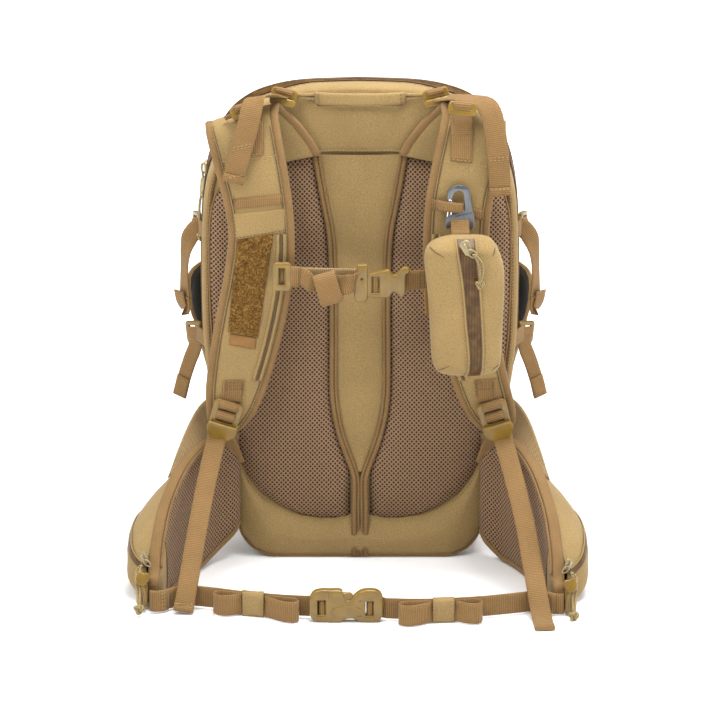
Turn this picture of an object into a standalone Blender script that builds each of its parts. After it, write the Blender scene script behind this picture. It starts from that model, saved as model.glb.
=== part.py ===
"""Hunting backpack with a padded harness, a hip belt and a small hanging pouch.

Frame: metres, +Z up, origin at the centre of the pack's base.  -Y is the harness side, which
lies against the wearer's back, and +X is to the right as that side is looked at.
"""
import math

import bmesh
import bpy
from mathutils import Matrix, Vector

# ---------------------------------------------------------------- driving dimensions
GAP = 0.0005                  # clearance between pieces that touch
WALL = 0.005                  # padded fabric wall of the bag
BACK_Y = -0.113               # outer face of the back panel
FRONT_Y = 0.110               # front face of the bag
ZIP_Y = -0.0695               # plane of the main zip, where the bag opens
BASE_TOP = 0.008              # thickness of the bottom panel
WALL_FOOT = 0.009             # height at which the walls start
BASE_PLAN = (0.236, 0.212)    # width and depth of the bottom panel
BASE_SHIFT = -0.005           # its centre lies this far towards the wearer
BACK_THICK = 0.009            # padded back panel
PAD_FACE = -0.1270            # outer face of the mesh back pads
LUMBAR_FACE = -0.1275
CHANNEL_FACE = -0.1215        # outer face of the centre channel and of the yoke panel
HINGE_FRONT = (0.0, 0.112, 0.004)

# half width of the bag at each height, from the foot of the wall to the crown
PROFILE = [(0.120, 0.009), (0.142, 0.020), (0.152, 0.050), (0.156, 0.100), (0.172, 0.165),
           (0.185, 0.245), (0.188, 0.320), (0.187, 0.400), (0.182, 0.460), (0.172, 0.500),
           (0.157, 0.530), (0.139, 0.550), (0.112, 0.565), (0.070, 0.574), (0.0, 0.577)]
# depth levels of the bag: (y, width factor, height factor)
LEVELS = [(ZIP_Y + GAP, 1.0, 1.0), (0.010, 1.0, 0.992), (0.055, 0.986, 0.972), (0.084, 0.960, 0.944),
          (0.100, 0.928, 0.912), (FRONT_Y, 0.880, 0.865)]

WEB_WIDE = 0.025              # hip belt, sternum and load lifter webbing
WEB_SLIM = 0.020              # lower strap and compression webbing
WEB_THICK = 0.0018

STRAP_THICK = 0.014
APEX = (0.0, -0.150, 0.556)   # fold line where the shoulder straps turn down
# shoulder strap, right side: (centre x, y, z, width)
STRAP_PATH = [(0.132, -0.1590, 0.5530, 0.084), (0.126, -0.1690, 0.5250, 0.081), (0.119, -0.1720, 0.4800, 0.076),
              (0.113, -0.1715, 0.4300, 0.071), (0.113, -0.1690, 0.3900, 0.072), (0.118, -0.1660, 0.3500, 0.077),
              (0.127, -0.1630, 0.3100, 0.078), (0.138, -0.1600, 0.2620, 0.074), (0.147, -0.1570, 0.2180, 0.064),
              (0.153, -0.1550, 0.1880, 0.052), (0.157, -0.1535, 0.1720, 0.036)]
# part of each strap between its seam on the yoke and the fold line
YOKE_STRAP_PATH = [(0.088, -0.1350, 0.4970, 0.080), (0.098, -0.1370, 0.5150, 0.082),
                   (0.112, -0.1405, 0.5380, 0.084), (0.124, -0.1440, 0.5540, 0.084)]

# plan of a hip wing's inner face, right side: (x, y, height of top edge, height of bottom edge)
WING_PLAN = [(0.1525, -0.1335, 0.158, 0.030), (0.173, -0.1500, 0.156, 0.013), (0.190, -0.1760, 0.150, 0.003),
             (0.204, -0.2050, 0.140, 0.001), (0.215, -0.2350, 0.124, 0.001), (0.224, -0.2620, 0.102, 0.001),
             (0.230, -0.2880, 0.070, 0.001), (0.232, -0.3060, 0.040, 0.001)]
WING_THICK = 0.012

# hip belt webbing, right side, from the wing's tip to the buckle: (x, y)
BELT_PATH = [(0.2420, -0.3220), (0.2300, -0.3230), (0.2160, -0.3120), (0.2000, -0.3050), (0.1700, -0.3120),
             (0.1300, -0.3260), (0.0900, -0.3360), (0.0600, -0.3400), (0.0300, -0.3405)]
BELT_Z = 0.0150

STERNUM_Z = 0.3545
STERNUM_Y = -0.1840
LOCK_PLACE = (0.160, -0.1680, 0.186)      # ladder lock at the foot of the right strap

CLIP_X = 0.1160
CLIP_Y = -0.1870
CLIP_Z = 0.4470
CLIP_PIVOT = (0.1195, CLIP_Y, 0.4670)     # where the hook hangs from its band
GATE_FOOT = (0.1020, CLIP_Y, 0.4350)
GATE_HEAD = (0.1045, CLIP_Y, 0.4550)

POUCH_X = 0.1205
POUCH_Y = -0.2185
POUCH_FOOT = 0.2520
POUCH_HALF = (0.0465, 0.0225)             # half width and half thickness
POUCH_LOOP = (POUCH_X, CLIP_Y, 0.4250)    # where the pouch's loop hangs on the hook
POUCH_PULL = (0.1175, -0.2480, 0.3990)
ZIP_LEAN = 0.1574                         # tilt of the pouch's zip from upright, in radians

MAIN_SLIDER = (-0.1855, -0.0695, 0.4640)
MAIN_PULL = (-0.1910, -0.0695, 0.4570)
HIP_PULL = (0.2590, -0.2940, 0.0600)
HANDLE_PIVOT = (0.0, -0.1245, 0.5695)
HANDLE_Z = 0.5615              # middle of the grab handle's band


# ---------------------------------------------------------------- scene and materials
def clear_scene():
    for old in list(bpy.data.objects):
        bpy.data.objects.remove(old, do_unlink=True)


clear_scene()
PARTS = bpy.data.collections.new("hunting_backpack")
CUTTERS = bpy.data.collections.new("cutters")
bpy.context.scene.collection.children.link(PARTS)
bpy.context.scene.collection.children.link(CUTTERS)


def material(name, colour, roughness, metallic=0.0):
    made = bpy.data.materials.new(name)
    made.use_nodes = True
    shader = made.node_tree.nodes["Principled BSDF"]
    shader.inputs["Base Color"].default_value = (*colour, 1.0)
    shader.inputs["Roughness"].default_value = roughness
    shader.inputs["Metallic"].default_value = metallic
    made.diffuse_color = (*colour, 1.0)
    return made


CANVAS = material("canvas", (0.40, 0.28, 0.13), 0.85)
WEBBING = material("webbing", (0.36, 0.22, 0.09), 0.75)
MESH = material("air_mesh", (0.28, 0.18, 0.10), 0.90)
PLASTIC = material("buckle_plastic", (0.52, 0.32, 0.06), 0.40)
CORD = material("pull_cord", (0.42, 0.32, 0.16), 0.80)
ZIP_METAL = material("zip_metal", (0.33, 0.27, 0.14), 0.40, 0.6)
SHEET = material("frame_board", (0.03, 0.03, 0.03), 0.50)
ALLOY = material("frame_alloy", (0.70, 0.70, 0.72), 0.35, 1.0)
CLIP = material("clip_alloy", (0.12, 0.13, 0.14), 0.35, 0.9)
STEEL = material("clip_wire", (0.60, 0.60, 0.60), 0.25, 1.0)


# ---------------------------------------------------------------- building blocks
def add_object(name, data, mat, collection=PARTS):
    made = bpy.data.objects.new(name, data)
    data.materials.append(mat)
    collection.objects.link(made)
    return made


def add_bmesh(name, shape, mat, collection=PARTS):
    bmesh.ops.recalc_face_normals(shape, faces=shape.faces)
    data = bpy.data.meshes.new(name)
    shape.to_mesh(data)
    shape.free()
    return add_object(name, data, mat, collection)


def smooth_path(points, steps):
    """Catmull-Rom curve through the points, with the given number of steps in each span."""
    knots = [Vector(point) for point in points]
    ends = [2 * knots[0] - knots[1]] + knots + [2 * knots[-1] - knots[-2]]
    path = []
    for before, start, end, after in zip(ends, ends[1:], ends[2:], ends[3:]):
        for step in range(steps):
            t = step / steps
            path.append(0.5 * (2 * start + (end - before) * t
                               + (2 * before - 5 * start + 4 * end - after) * t * t
                               + (3 * start - before - 3 * end + after) * t ** 3))
    path.append(knots[-1])
    return path


def sheet(name, rows, thickness, mat, closed_end=False):
    """Open surface through rows of points, given its thickness by Solidify."""
    shape = bmesh.new()
    grid = [[shape.verts.new(point) for point in row] for row in rows]
    for low, high in zip(grid, grid[1:]):
        for near, far, far_up, near_up in zip(low, low[1:], high[1:], high):
            shape.faces.new((near, far, far_up, near_up))
    if closed_end:
        shape.faces.new(grid[-1])
    made = add_bmesh(name, shape, mat)
    solid = made.modifiers.new("thickness", "SOLIDIFY")
    solid.thickness = thickness
    solid.offset = 0.0
    solid.use_even_offset = True
    return made


def ribbon(name, path, across, width, thickness, mat):
    """Flat webbing along a path; across is the direction of its width, or one for each point."""
    sides = across if isinstance(across, list) else [across] * len(path)
    widths = width if isinstance(width, list) else [width] * len(path)
    near = [point - Vector(side).normalized() * wide / 2 for point, side, wide in zip(path, sides, widths)]
    far = [point + Vector(side).normalized() * wide / 2 for point, side, wide in zip(path, sides, widths)]
    return sheet(name, [near, far], thickness, mat)


def outline_curve(name, loops, thickness, mat, collection=PARTS):
    """Flat piece in the local XY plane: the first loop is its edge, the others are holes."""
    curve = bpy.data.curves.new(name, "CURVE")
    curve.dimensions = "2D"
    curve.fill_mode = "BOTH"
    curve.extrude = thickness / 2
    for loop in loops:
        spline = curve.splines.new("POLY")
        spline.points.add(len(loop) - 1)
        for point, (x, y) in zip(spline.points, loop):
            point.co = (x, y, 0.0, 1.0)
        spline.use_cyclic_u = True
    return add_object(name, curve, mat, collection)


def upright(made, centre, turn=0.0, lean=0.0, yaw=0.0):
    """Stand a flat piece up, facing -Y, then tilt it in its plane, lean it and turn it about Z."""
    made.matrix_world = (Matrix.Translation(centre) @ Matrix.Rotation(yaw, 4, "Z") @ Matrix.Rotation(lean, 4, "X")
                         @ Matrix.Rotation(turn, 4, "Y") @ Matrix.Rotation(math.pi / 2, 4, "X"))
    return made


def panel(name, outline, y_outer, y_inner, mat):
    """Plate whose outline lies in XZ, between two depths."""
    made = outline_curve(name, [outline], abs(y_inner - y_outer), mat)
    return upright(made, (0.0, (y_outer + y_inner) / 2, 0.0))


def mirrored(points):
    return [(-x, *rest) for x, *rest in points]


def rounded_loop(width, height, radius, steps=3, centre=(0.0, 0.0)):
    loop = []
    for corner, (sx, sy) in enumerate(((1, 1), (-1, 1), (-1, -1), (1, -1))):
        for step in range(steps + 1):
            angle = math.pi / 2 * (corner + step / steps)
            loop.append((centre[0] + sx * (width / 2 - radius) + radius * math.cos(angle),
                         centre[1] + sy * (height / 2 - radius) + radius * math.sin(angle)))
    return loop


def slotted_plate(name, width, height, thickness, rim, bars, mat):
    """Webbing buckle: a rounded frame crossed by a number of level bars, with slots between them."""
    slot = (height - (2 + bars) * rim) / (bars + 1)
    loops = [rounded_loop(width, height, rim * 0.9)]
    for index in range(bars + 1):
        middle = -height / 2 + rim + slot / 2 + index * (slot + rim)
        loops.append(rounded_loop(width - 2 * rim, slot, slot * 0.2, 1, (0.0, middle)))
    return outline_curve(name, loops, thickness, mat)


def tube(name, points, radius, mat, closed=False):
    curve = bpy.data.curves.new(name, "CURVE")
    curve.dimensions = "3D"
    curve.bevel_depth = radius
    curve.bevel_resolution = 2
    curve.use_fill_caps = True
    spline = curve.splines.new("POLY")
    spline.points.add(len(points) - 1)
    for point, place in zip(spline.points, points):
        point.co = (*place, 1.0)
    spline.use_cyclic_u = closed
    return add_object(name, curve, mat)


def box(name, size, mat, bevel=0.0, centre=(0.0, 0.0, 0.0), collection=PARTS):
    shape = bmesh.new()
    bmesh.ops.create_cube(shape, size=1.0)
    bmesh.ops.scale(shape, vec=size, verts=shape.verts)
    made = add_bmesh(name, shape, mat, collection)
    made.location = centre
    if bevel:
        rounding = made.modifiers.new("rounding", "BEVEL")
        rounding.width = bevel
        rounding.segments = 2
    return made


def loft(name, rings, mat):
    """Closed solid through rings of the same number of points."""
    shape = bmesh.new()
    grid = [[shape.verts.new(point) for point in ring] for ring in rings]
    count = len(grid[0])
    for low, high in zip(grid, grid[1:]):
        for index in range(count):
            after = (index + 1) % count
            shape.faces.new((low[index], low[after], high[after], high[index]))
    shape.faces.new(grid[0][::-1])
    shape.faces.new(grid[-1])
    return add_bmesh(name, shape, mat)


def oval_ring(half_a, half_b, power, count):
    """Superellipse of the given power, as (a, b) pairs."""
    ring = []
    for step in range(count):
        angle = 2 * math.pi * step / count
        ca, sa = math.cos(angle), math.sin(angle)
        ring.append((half_a * math.copysign(abs(ca) ** (2 / power), ca),
                     half_b * math.copysign(abs(sa) ** (2 / power), sa)))
    return ring


def cut(made, cutter):
    """Take the cutter's shape out of a piece."""
    cutter.display_type = "WIRE"
    cutter.hide_render = True
    boolean = made.modifiers.new("cut", "BOOLEAN")
    boolean.operation = "DIFFERENCE"
    boolean.object = cutter
    return made


def set_origin(made, pivot):
    """Move a piece's origin onto its joint's axis and leave its shape where it is."""
    made.data.transform(Matrix.Translation(-Vector(pivot)) @ made.matrix_basis)
    made.matrix_basis = Matrix.Translation(pivot)
    return made


# ---------------------------------------------------------------- the bag
def outline_at(width_factor, height_factor, inset=0.0):
    """Right half of the bag's outline, foot to crown, smoothed and set in by a distance."""
    half = smooth_path([(x, z, 0.0) for x, z in PROFILE], 2)
    points = []
    for index, point in enumerate(half):
        ahead = half[min(index + 1, len(half) - 1)]
        behind = half[max(index - 1, 0)]
        run = (ahead - behind).normalized()
        x = point.x * width_factor - run.y * inset
        z = WALL_FOOT + (point.y - WALL_FOOT) * height_factor + run.x * inset
        points.append((max(x, 0.0), z))
    return points


def hoop(y, width_factor, height_factor, inset):
    """The bag's whole outline as an open hoop of 3D points, left foot to right foot."""
    half = outline_at(width_factor, height_factor, inset)
    ring = mirrored(half) + half[::-1][1:]
    return [(x, y, z) for x, z in ring]


def build_bag():
    inner_half = outline_at(1.0, 1.0, WALL + 2 * GAP)
    plate = [(0.0, inner_half[0][1])] + inner_half
    panel("back_panel", plate + mirrored(inner_half)[::-1][1:], BACK_Y, BACK_Y + BACK_THICK, CANVAS)
    sheet("rear_gusset", [hoop(BACK_Y, 1.0, 1.0, WALL / 2), hoop(ZIP_Y - GAP, 1.0, 1.0, WALL / 2)], WALL, CANVAS)
    rows = [hoop(y, wide, high, WALL / 2) for y, wide, high in LEVELS]
    shell = sheet("front_shell", rows, WALL, CANVAS, closed_end=True)
    set_origin(shell, HINGE_FRONT)
    box("bottom_panel", (*BASE_PLAN, BASE_TOP), CANVAS, 0.003, (0.0, BASE_SHIFT, BASE_TOP / 2))


def build_frame():
    sheet_edge = rounded_loop(0.260, 0.490, 0.040, 4, (0.0, 0.285))
    panel("frame_sheet", sheet_edge, -0.1035, -0.1015, SHEET)
    leg_x, top_z, foot_z, bend = 0.118, 0.515, 0.060, 0.035
    path = [(-leg_x, -0.0975, foot_z)]
    for step in range(7):
        angle = math.pi - math.pi / 2 * step / 6
        path.append((-leg_x + bend + bend * math.cos(angle), -0.0975, top_z - bend + bend * math.sin(angle)))
    right = [(-x, y, z) for x, y, z in path]
    tube("frame_rod", path + right[::-1], 0.003, ALLOY)


def build_back_padding():
    edge = smooth_path([(0.0467, 0.4950, 0.0), (0.0375, 0.4400, 0.0), (0.0294, 0.3930, 0.0), (0.0272, 0.3200, 0.0),
                        (0.0274, 0.2000, 0.0), (0.0200, 0.1550, 0.0), (0.0035, 0.1080, 0.0)], 3)
    edge = [(point.x, point.y) for point in edge]
    panel("centre_channel", edge[::-1] + mirrored(edge), CHANNEL_FACE, BACK_Y - GAP, CANVAS)
    seam = [(x + 0.0048, z) for x, z in edge[:-4]] + [(0.0125, 0.1100), (0.0125, 0.0560)]
    arc = smooth_path([(0.0125, 0.0560, 0.0), (0.0300, 0.0460, 0.0), (0.0720, 0.0520, 0.0), (0.1180, 0.0775, 0.0),
                       (0.1460, 0.1220, 0.0), (0.1580, 0.1700, 0.0), (0.1700, 0.2400, 0.0), (0.1745, 0.3100, 0.0),
                       (0.1745, 0.4000, 0.0), (0.1680, 0.4450, 0.0), (0.1500, 0.4680, 0.0), (0.1050, 0.4830, 0.0),
                       (0.0515, 0.4900, 0.0)], 3)
    pad = [(x, max(z, 0.0)) for x, z in seam[:-1]] + [(point.x, point.y) for point in arc[:-1]]
    panel("mesh_pad_right", pad, PAD_FACE, BACK_Y - GAP, MESH)
    panel("mesh_pad_left", mirrored(pad), PAD_FACE, BACK_Y - GAP, MESH)
    low_arc = smooth_path([(0.0, 0.0420, 0.0), (0.0300, 0.0400, 0.0), (0.0740, 0.0460, 0.0), (0.1220, 0.0725, 0.0),
                           (0.1490, 0.1150, 0.0)], 3)
    low_arc = [(point.x, point.y) for point in low_arc]
    corner = [(0.1500, 0.0900), (0.1480, 0.0500), (0.1420, 0.0260), (0.1280, 0.0100), (0.1080, 0.0030)]
    lumbar = low_arc + corner
    panel("lumbar_pad", lumbar + mirrored(lumbar)[::-1][:-1], LUMBAR_FACE, BACK_Y - GAP, CANVAS)
    yoke = [(0.0, 0.4975), (0.0480, 0.4975), (0.1070, 0.4900), (0.1540, 0.4760), (0.1640, 0.4880),
            (0.1600, 0.5080), (0.1480, 0.5300), (0.1300, 0.5460), (0.1000, 0.5580), (0.0600, 0.5660), (0.0, 0.5690)]
    panel("yoke_panel", yoke + mirrored(yoke)[::-1][1:-1], CHANNEL_FACE, BACK_Y - GAP, CANVAS)


def build_side_pocket(side, sign):
    """Stretch pocket: hugs the side at its foot and gapes open at its mouth."""
    rows = []
    for height, bulge in ((0.055, 0.0035), (0.110, 0.0090), (0.180, 0.0140), (0.250, 0.0190), (0.318, 0.0230)):
        side_x = wall_x(height)
        row = []
        for y, share in ((-0.030, 0.10), (-0.020, 0.62), (0.000, 0.94), (0.025, 1.0), (0.050, 0.90), (0.070, 0.55)):
            taper = 0.0 if y < 0.02 else (y - 0.02) * 0.09
            row.append((sign * (side_x + 0.0018 + bulge * share - taper), y, height))
        rows.append(row)
    made = sheet(f"side_pocket_{side}", rows, 0.0018, CANVAS)
    return set_origin(made, HINGE_FRONT)


def wall_x(height):
    """Half width of the bag at a height."""
    for (x_low, z_low), (x_high, z_high) in zip(PROFILE, PROFILE[1:]):
        if z_low <= height <= z_high:
            return x_low + (x_high - x_low) * (height - z_low) / (z_high - z_low)
    return PROFILE[0][0]


def build_front_pocket():
    rings = []
    for y, grow in ((FRONT_Y + 0.0035, 0.97), (FRONT_Y + 0.012, 1.0), (FRONT_Y + 0.024, 0.96),
                    (FRONT_Y + 0.032, 0.86)):
        rings.append([(a * grow, y, 0.265 + b * grow) for a, b in oval_ring(0.122, 0.172, 6.0, 28)])
    made = loft("front_pocket", rings, CANVAS)
    return set_origin(made, HINGE_FRONT)


def build_compression(side, sign):
    """Two straps on each side: a buckle at the rear seam, and the webbing's tail hanging from it."""
    for level, height, turn in (("upper", 0.399, 0.0), ("lower", 0.254, 0.12)):
        frame = slotted_plate(f"{level}_buckle_{side}", 0.024, 0.028, 0.005, 0.0035, 1, PLASTIC)
        frame.matrix_world = (Matrix.Translation((sign * 0.1975, -0.052, height))
                              @ Matrix.Rotation(sign * (math.pi / 2 - turn), 4, "Z")
                              @ Matrix.Rotation(math.pi / 2, 4, "X") @ Matrix.Rotation(math.pi / 2, 4, "Z"))
    upper = smooth_path([(0.2075, -0.053, 0.4040), (0.2140, -0.051, 0.3960), (0.2210, -0.047, 0.3800),
                         (0.2250, -0.047, 0.3580), (0.2235, -0.047, 0.3270), (0.2235, -0.047, 0.2850)], 3)
    lower = smooth_path([(0.2085, -0.053, 0.2560), (0.2130, -0.051, 0.2440), (0.2180, -0.047, 0.2200),
                         (0.2270, -0.047, 0.1940), (0.2350, -0.047, 0.1680)], 3)
    for level, path in (("upper", upper), ("lower", lower)):
        place = [Vector((sign * point.x, point.y, point.z)) for point in path]
        ribbon(f"{level}_strap_{side}", place, (sign * -0.45, 0.9, 0.0), WEB_SLIM, WEB_THICK, WEBBING)


# ---------------------------------------------------------------- the harness
def strap_sheet(name, path, sign, steps):
    curve = smooth_path([(x, y, z) for x, y, z, _ in path], steps)
    widths = smooth_path([(wide, 0.0, 0.0) for *_, wide in path], steps)
    place = [Vector((sign * point.x, point.y, point.z)) for point in curve]
    rows = [[], [], [], []]
    for point, wide in zip(place, widths):
        for row, share, sink in zip(rows, (-0.5, -0.3, 0.3, 0.5), (0.0025, 0.0, 0.0, 0.0025)):
            row.append((point.x + share * wide.x, point.y + sink, point.z))
    return sheet(name, rows, STRAP_THICK if name.startswith("shoulder") else 0.011, CANVAS)


def build_shoulder_strap(side, sign):
    made = strap_sheet(f"shoulder_strap_{side}", STRAP_PATH, sign, 2)
    set_origin(made, APEX)
    strap_sheet(f"yoke_strap_{side}", YOKE_STRAP_PATH, sign, 2)
    lock = slotted_plate(f"ladder_lock_{side}", 0.030, 0.042, 0.006, 0.0042, 2, PLASTIC)
    x, y, z = LOCK_PLACE
    upright(lock, (sign * x, y, z), turn=sign * -0.36)


def build_lifters():
    for side, sign in (("left", -1), ("right", 1)):
        buckle = slotted_plate(f"lifter_buckle_{side}", 0.027, 0.017, 0.006, 0.0035, 1, PLASTIC)
        upright(buckle, (sign * 0.0885, -0.1310, 0.5680), turn=sign * -0.30)
    left = smooth_path([(-0.120, -0.1600, 0.5740), (-0.123, -0.1760, 0.5660), (-0.129, -0.1830, 0.5420),
                        (-0.139, -0.1860, 0.5050), (-0.147, -0.1850, 0.4740)], 3)
    right = smooth_path([(0.128, -0.1600, 0.5740), (0.141, -0.1740, 0.5680), (0.152, -0.1830, 0.5480),
                         (0.157, -0.1860, 0.5200), (0.160, -0.1860, 0.4900), (0.1615, -0.1850, 0.4600)], 3)
    for side, path, across in (("left", left, (1.0, 0.0, 0.24)), ("right", right, (1.0, 0.0, 0.12))):
        made = ribbon(f"lifter_tail_{side}", path, across, WEB_WIDE, WEB_THICK, WEBBING)
        set_origin(made, APEX)


def build_strap_tails():
    left = smooth_path([(-0.1655, -0.1755, 0.1640), (-0.1700, -0.1950, 0.1480), (-0.1780, -0.2330, 0.1150),
                        (-0.1870, -0.2720, 0.0760), (-0.1940, -0.3000, 0.0440), (-0.1990, -0.3180, 0.0200),
                        (-0.2020, -0.3260, 0.0040)], 3)
    right = smooth_path([(0.1665, -0.1755, 0.1620), (0.1730, -0.2000, 0.1450), (0.1820, -0.2330, 0.1180),
                         (0.1910, -0.2650, 0.0860), (0.1975, -0.2910, 0.0540), (0.2025, -0.3145, 0.0250),
                         (0.2060, -0.3260, 0.0080), (0.2085, -0.3470, 0.0030), (0.2100, -0.3850, 0.0030)], 3)
    for side, path in (("left", left), ("right", right)):
        made = ribbon(f"strap_tail_{side}", path, (1.0, 0.0, 0.0), WEB_SLIM, WEB_THICK, WEBBING)
        set_origin(made, APEX)


def build_grab_handle():
    path = smooth_path([(-0.0700, -0.1245, 0.0), (-0.0560, -0.1275, 0.0), (0.0, -0.1310, 0.0),
                        (0.0560, -0.1275, 0.0), (0.0700, -0.1245, 0.0)], 3)
    place = [Vector((point.x, point.y, HANDLE_Z)) for point in path]
    made = ribbon("grab_handle", place, (0.0, 0.0, 1.0), 0.016, 0.004, CANVAS)
    set_origin(made, HANDLE_PIVOT)


# ---------------------------------------------------------------- side-release buckles
def side_release(prefix, end, way, length, share, height, thick, place_y, place_z, tine):
    """Housing with a socket, and a half with two prongs and a guide that plugs into it.

    The housing starts at end and takes a share of the length; way is 1 or -1, its direction along X.
    """
    female_len = length * share
    socket_len = length * 0.34
    wall = height * 0.13
    split = end + way * female_len
    female = box(f"{prefix}_female", (female_len, thick, height), PLASTIC, 0.0,
                 (end + way * female_len / 2, place_y, place_z))
    cutter = box(f"{prefix}_socket", (socket_len + 0.002, thick * 0.50, height - 2 * wall), PLASTIC, 0.0,
                 (split - way * (socket_len / 2 - 0.001), place_y, place_z), CUTTERS)
    cut(female, cutter)
    slot = box(f"{prefix}_slot", (length * 0.09, thick * 2, height - 2.6 * wall), PLASTIC, 0.0,
               (end + way * length * 0.10, place_y, place_z), CUTTERS)
    cut(female, slot)
    body_len = length - female_len - 0.0006
    reach = socket_len - 0.0012
    half = height / 2
    arm_out = half - wall - 0.0012
    arm_in = arm_out - tine
    upper_half = [(body_len, half), (0.0, half), (0.0, arm_out), (-reach, arm_out - 0.0008),
                  (-reach, arm_in), (0.0, arm_in), (0.0, tine * 0.45), (-reach * 0.8, tine * 0.45)]
    edge = [(way * x, y) for x, y in upper_half] + [(way * x, -y) for x, y in upper_half[::-1]]
    hole = rounded_loop(length * 0.09, height - 2.6 * wall, 0.001, 1, (way * body_len * 0.62, 0.0))
    male = outline_curve(f"{prefix}_male", [edge, hole], thick * 0.40, PLASTIC)
    upright(male, (split + way * 0.0006, place_y, place_z))


# ---------------------------------------------------------------- sternum strap
def build_sternum():
    for side, sign in (("left", -1), ("right", 1)):
        slider = slotted_plate(f"sternum_slider_{side}", 0.030, 0.018, 0.006, 0.0032, 1, PLASTIC)
        slider.matrix_world = (Matrix.Translation((sign * 0.0885, STERNUM_Y + 0.0015, STERNUM_Z + 0.005))
                               @ Matrix.Rotation(math.pi / 2, 4, "X") @ Matrix.Rotation(math.pi / 2, 4, "Z"))
    left = smooth_path([(-0.0840, STERNUM_Y - 0.0045, STERNUM_Z + 0.003), (-0.0700, STERNUM_Y - 0.0045, STERNUM_Z),
                        (-0.0350, STERNUM_Y - 0.0010, STERNUM_Z), (-0.0080, STERNUM_Y, STERNUM_Z)], 3)
    right = smooth_path([(0.0600, STERNUM_Y + 0.0070, STERNUM_Z), (0.0700, STERNUM_Y + 0.0070, STERNUM_Z),
                         (0.0780, STERNUM_Y + 0.0072, STERNUM_Z)], 3)
    ribbon("sternum_webbing_left", left, (0.0, 0.0, 1.0), WEB_WIDE, WEB_THICK, WEBBING)
    ribbon("sternum_webbing_right", right, (0.0, 0.0, 1.0), WEB_WIDE, WEB_THICK, WEBBING)
    side_release("sternum", -0.0060, 1, 0.0620, 0.58, 0.0310, 0.0090, STERNUM_Y - 0.0005, STERNUM_Z, 0.0040)


# ---------------------------------------------------------------- carabiner and pouch
def build_carabiner():
    """Flat hook: spine on the right, nose on the left, and two legs astride the pouch's loop."""
    crown = [(0.0070 * math.cos(a), 0.0150 + 0.0080 * math.sin(a)) for a in
             [math.pi * step / 6 for step in range(7)]]
    outer = [(-0.0145, 0.0095), (-0.0145, 0.0170), (-0.0060, 0.0250), (0.0040, 0.0255), (0.0110, 0.0210),
             (0.0135, 0.0000), (0.0160, -0.0090), (0.0160, -0.0220), (0.0120, -0.0255), (0.0120, -0.0150),
             (-0.0110, -0.0150), (-0.0110, -0.0245), (-0.0155, -0.0215), (-0.0155, -0.0150), (-0.0080, -0.0105),
             (0.0065, -0.0050)]
    inner = [(0.0085, 0.0060)] + [(x + 0.0010, y) for x, y in crown] + [(-0.0085, 0.0095)]
    pivot_x, _, pivot_z = CLIP_PIVOT
    edge = [(CLIP_X + x - pivot_x, CLIP_Z + z - pivot_z) for x, z in outer + inner]
    upright(outline_curve("carabiner", [edge], 0.0045, CLIP), CLIP_PIVOT)
    foot, head = Vector(GATE_FOOT), Vector(GATE_HEAD)
    gate = tube("carabiner_gate", [foot, foot.lerp(head, 0.5), head], 0.0012, STEEL)
    set_origin(gate, GATE_FOOT)


def build_pouch():
    """Padded zip pouch, crowned at the front and a little narrower at both ends."""
    rings = []
    for height, grow, fat in ((0.0, 0.62, 0.50), (0.010, 0.82, 0.80), (0.030, 0.95, 0.96), (0.085, 1.0, 1.0),
                              (0.140, 0.97, 0.97), (0.160, 0.86, 0.82), (0.171, 0.62, 0.50)):
        rings.append([(POUCH_X + a * grow, POUCH_Y + b * fat, POUCH_FOOT + height)
                      for a, b in oval_ring(*POUCH_HALF, 3.2, 20)])
    made = loft("pouch", rings, CANVAS)
    set_origin(made, POUCH_LOOP)
    slider = box("pouch_slider", (0.010, 0.0045, 0.012), ZIP_METAL, 0.001, (0.1150, POUCH_Y - 0.0255, 0.4080))
    slider.rotation_euler = (0.0, -ZIP_LEAN, 0.0)
    pull = smooth_path([POUCH_PULL, (0.1250, -0.2490, 0.3880), (0.1320, -0.2490, 0.3760),
                        (0.1355, -0.2490, 0.3620)], 2)
    set_origin(tube("pouch_pull", pull, 0.0022, CORD), POUCH_PULL)


# ---------------------------------------------------------------- main zip
def build_main_zip():
    box("main_slider", (0.0045, 0.0110, 0.0130), ZIP_METAL, 0.001, MAIN_SLIDER)
    path = smooth_path([MAIN_PULL, (-0.1935, -0.0695, 0.4420), (-0.1945, -0.0695, 0.4150),
                        (-0.1945, -0.0695, 0.3800)], 2)
    set_origin(tube("main_pull", path, 0.0024, CORD), MAIN_PULL)


# ---------------------------------------------------------------- hip belt
def wing_stations(sign):
    """Plan points of a wing's inner face with outward normals and heights of both edges."""
    path = smooth_path([row[:3] for row in WING_PLAN], 2)
    feet = smooth_path([(row[3], 0.0, 0.0) for row in WING_PLAN], 2)
    stations = []
    for index, point in enumerate(path):
        run = path[min(index + 1, len(path) - 1)] - path[max(index - 1, 0)]
        normal = Vector((-run.y, run.x, 0.0)).normalized()
        stations.append((Vector((sign * point.x, point.y, 0.0)), Vector((sign * normal.x, normal.y, 0.0)),
                         point.z, max(feet[index].x, 0.001)))
    return stations


def build_wing(side, sign):
    stations = wing_stations(sign)
    rows = []
    for share in (0.0, 0.15, 0.5, 0.85, 1.0):
        row = []
        for point, normal, top, edge in stations:
            height = edge + (top - edge) * share
            row.append(point + normal * (WING_THICK / 2) + Vector((0.0, 0.0, height)))
        rows.append(row)
    sheet(f"hip_wing_{side}", rows, WING_THICK, MESH)


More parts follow.
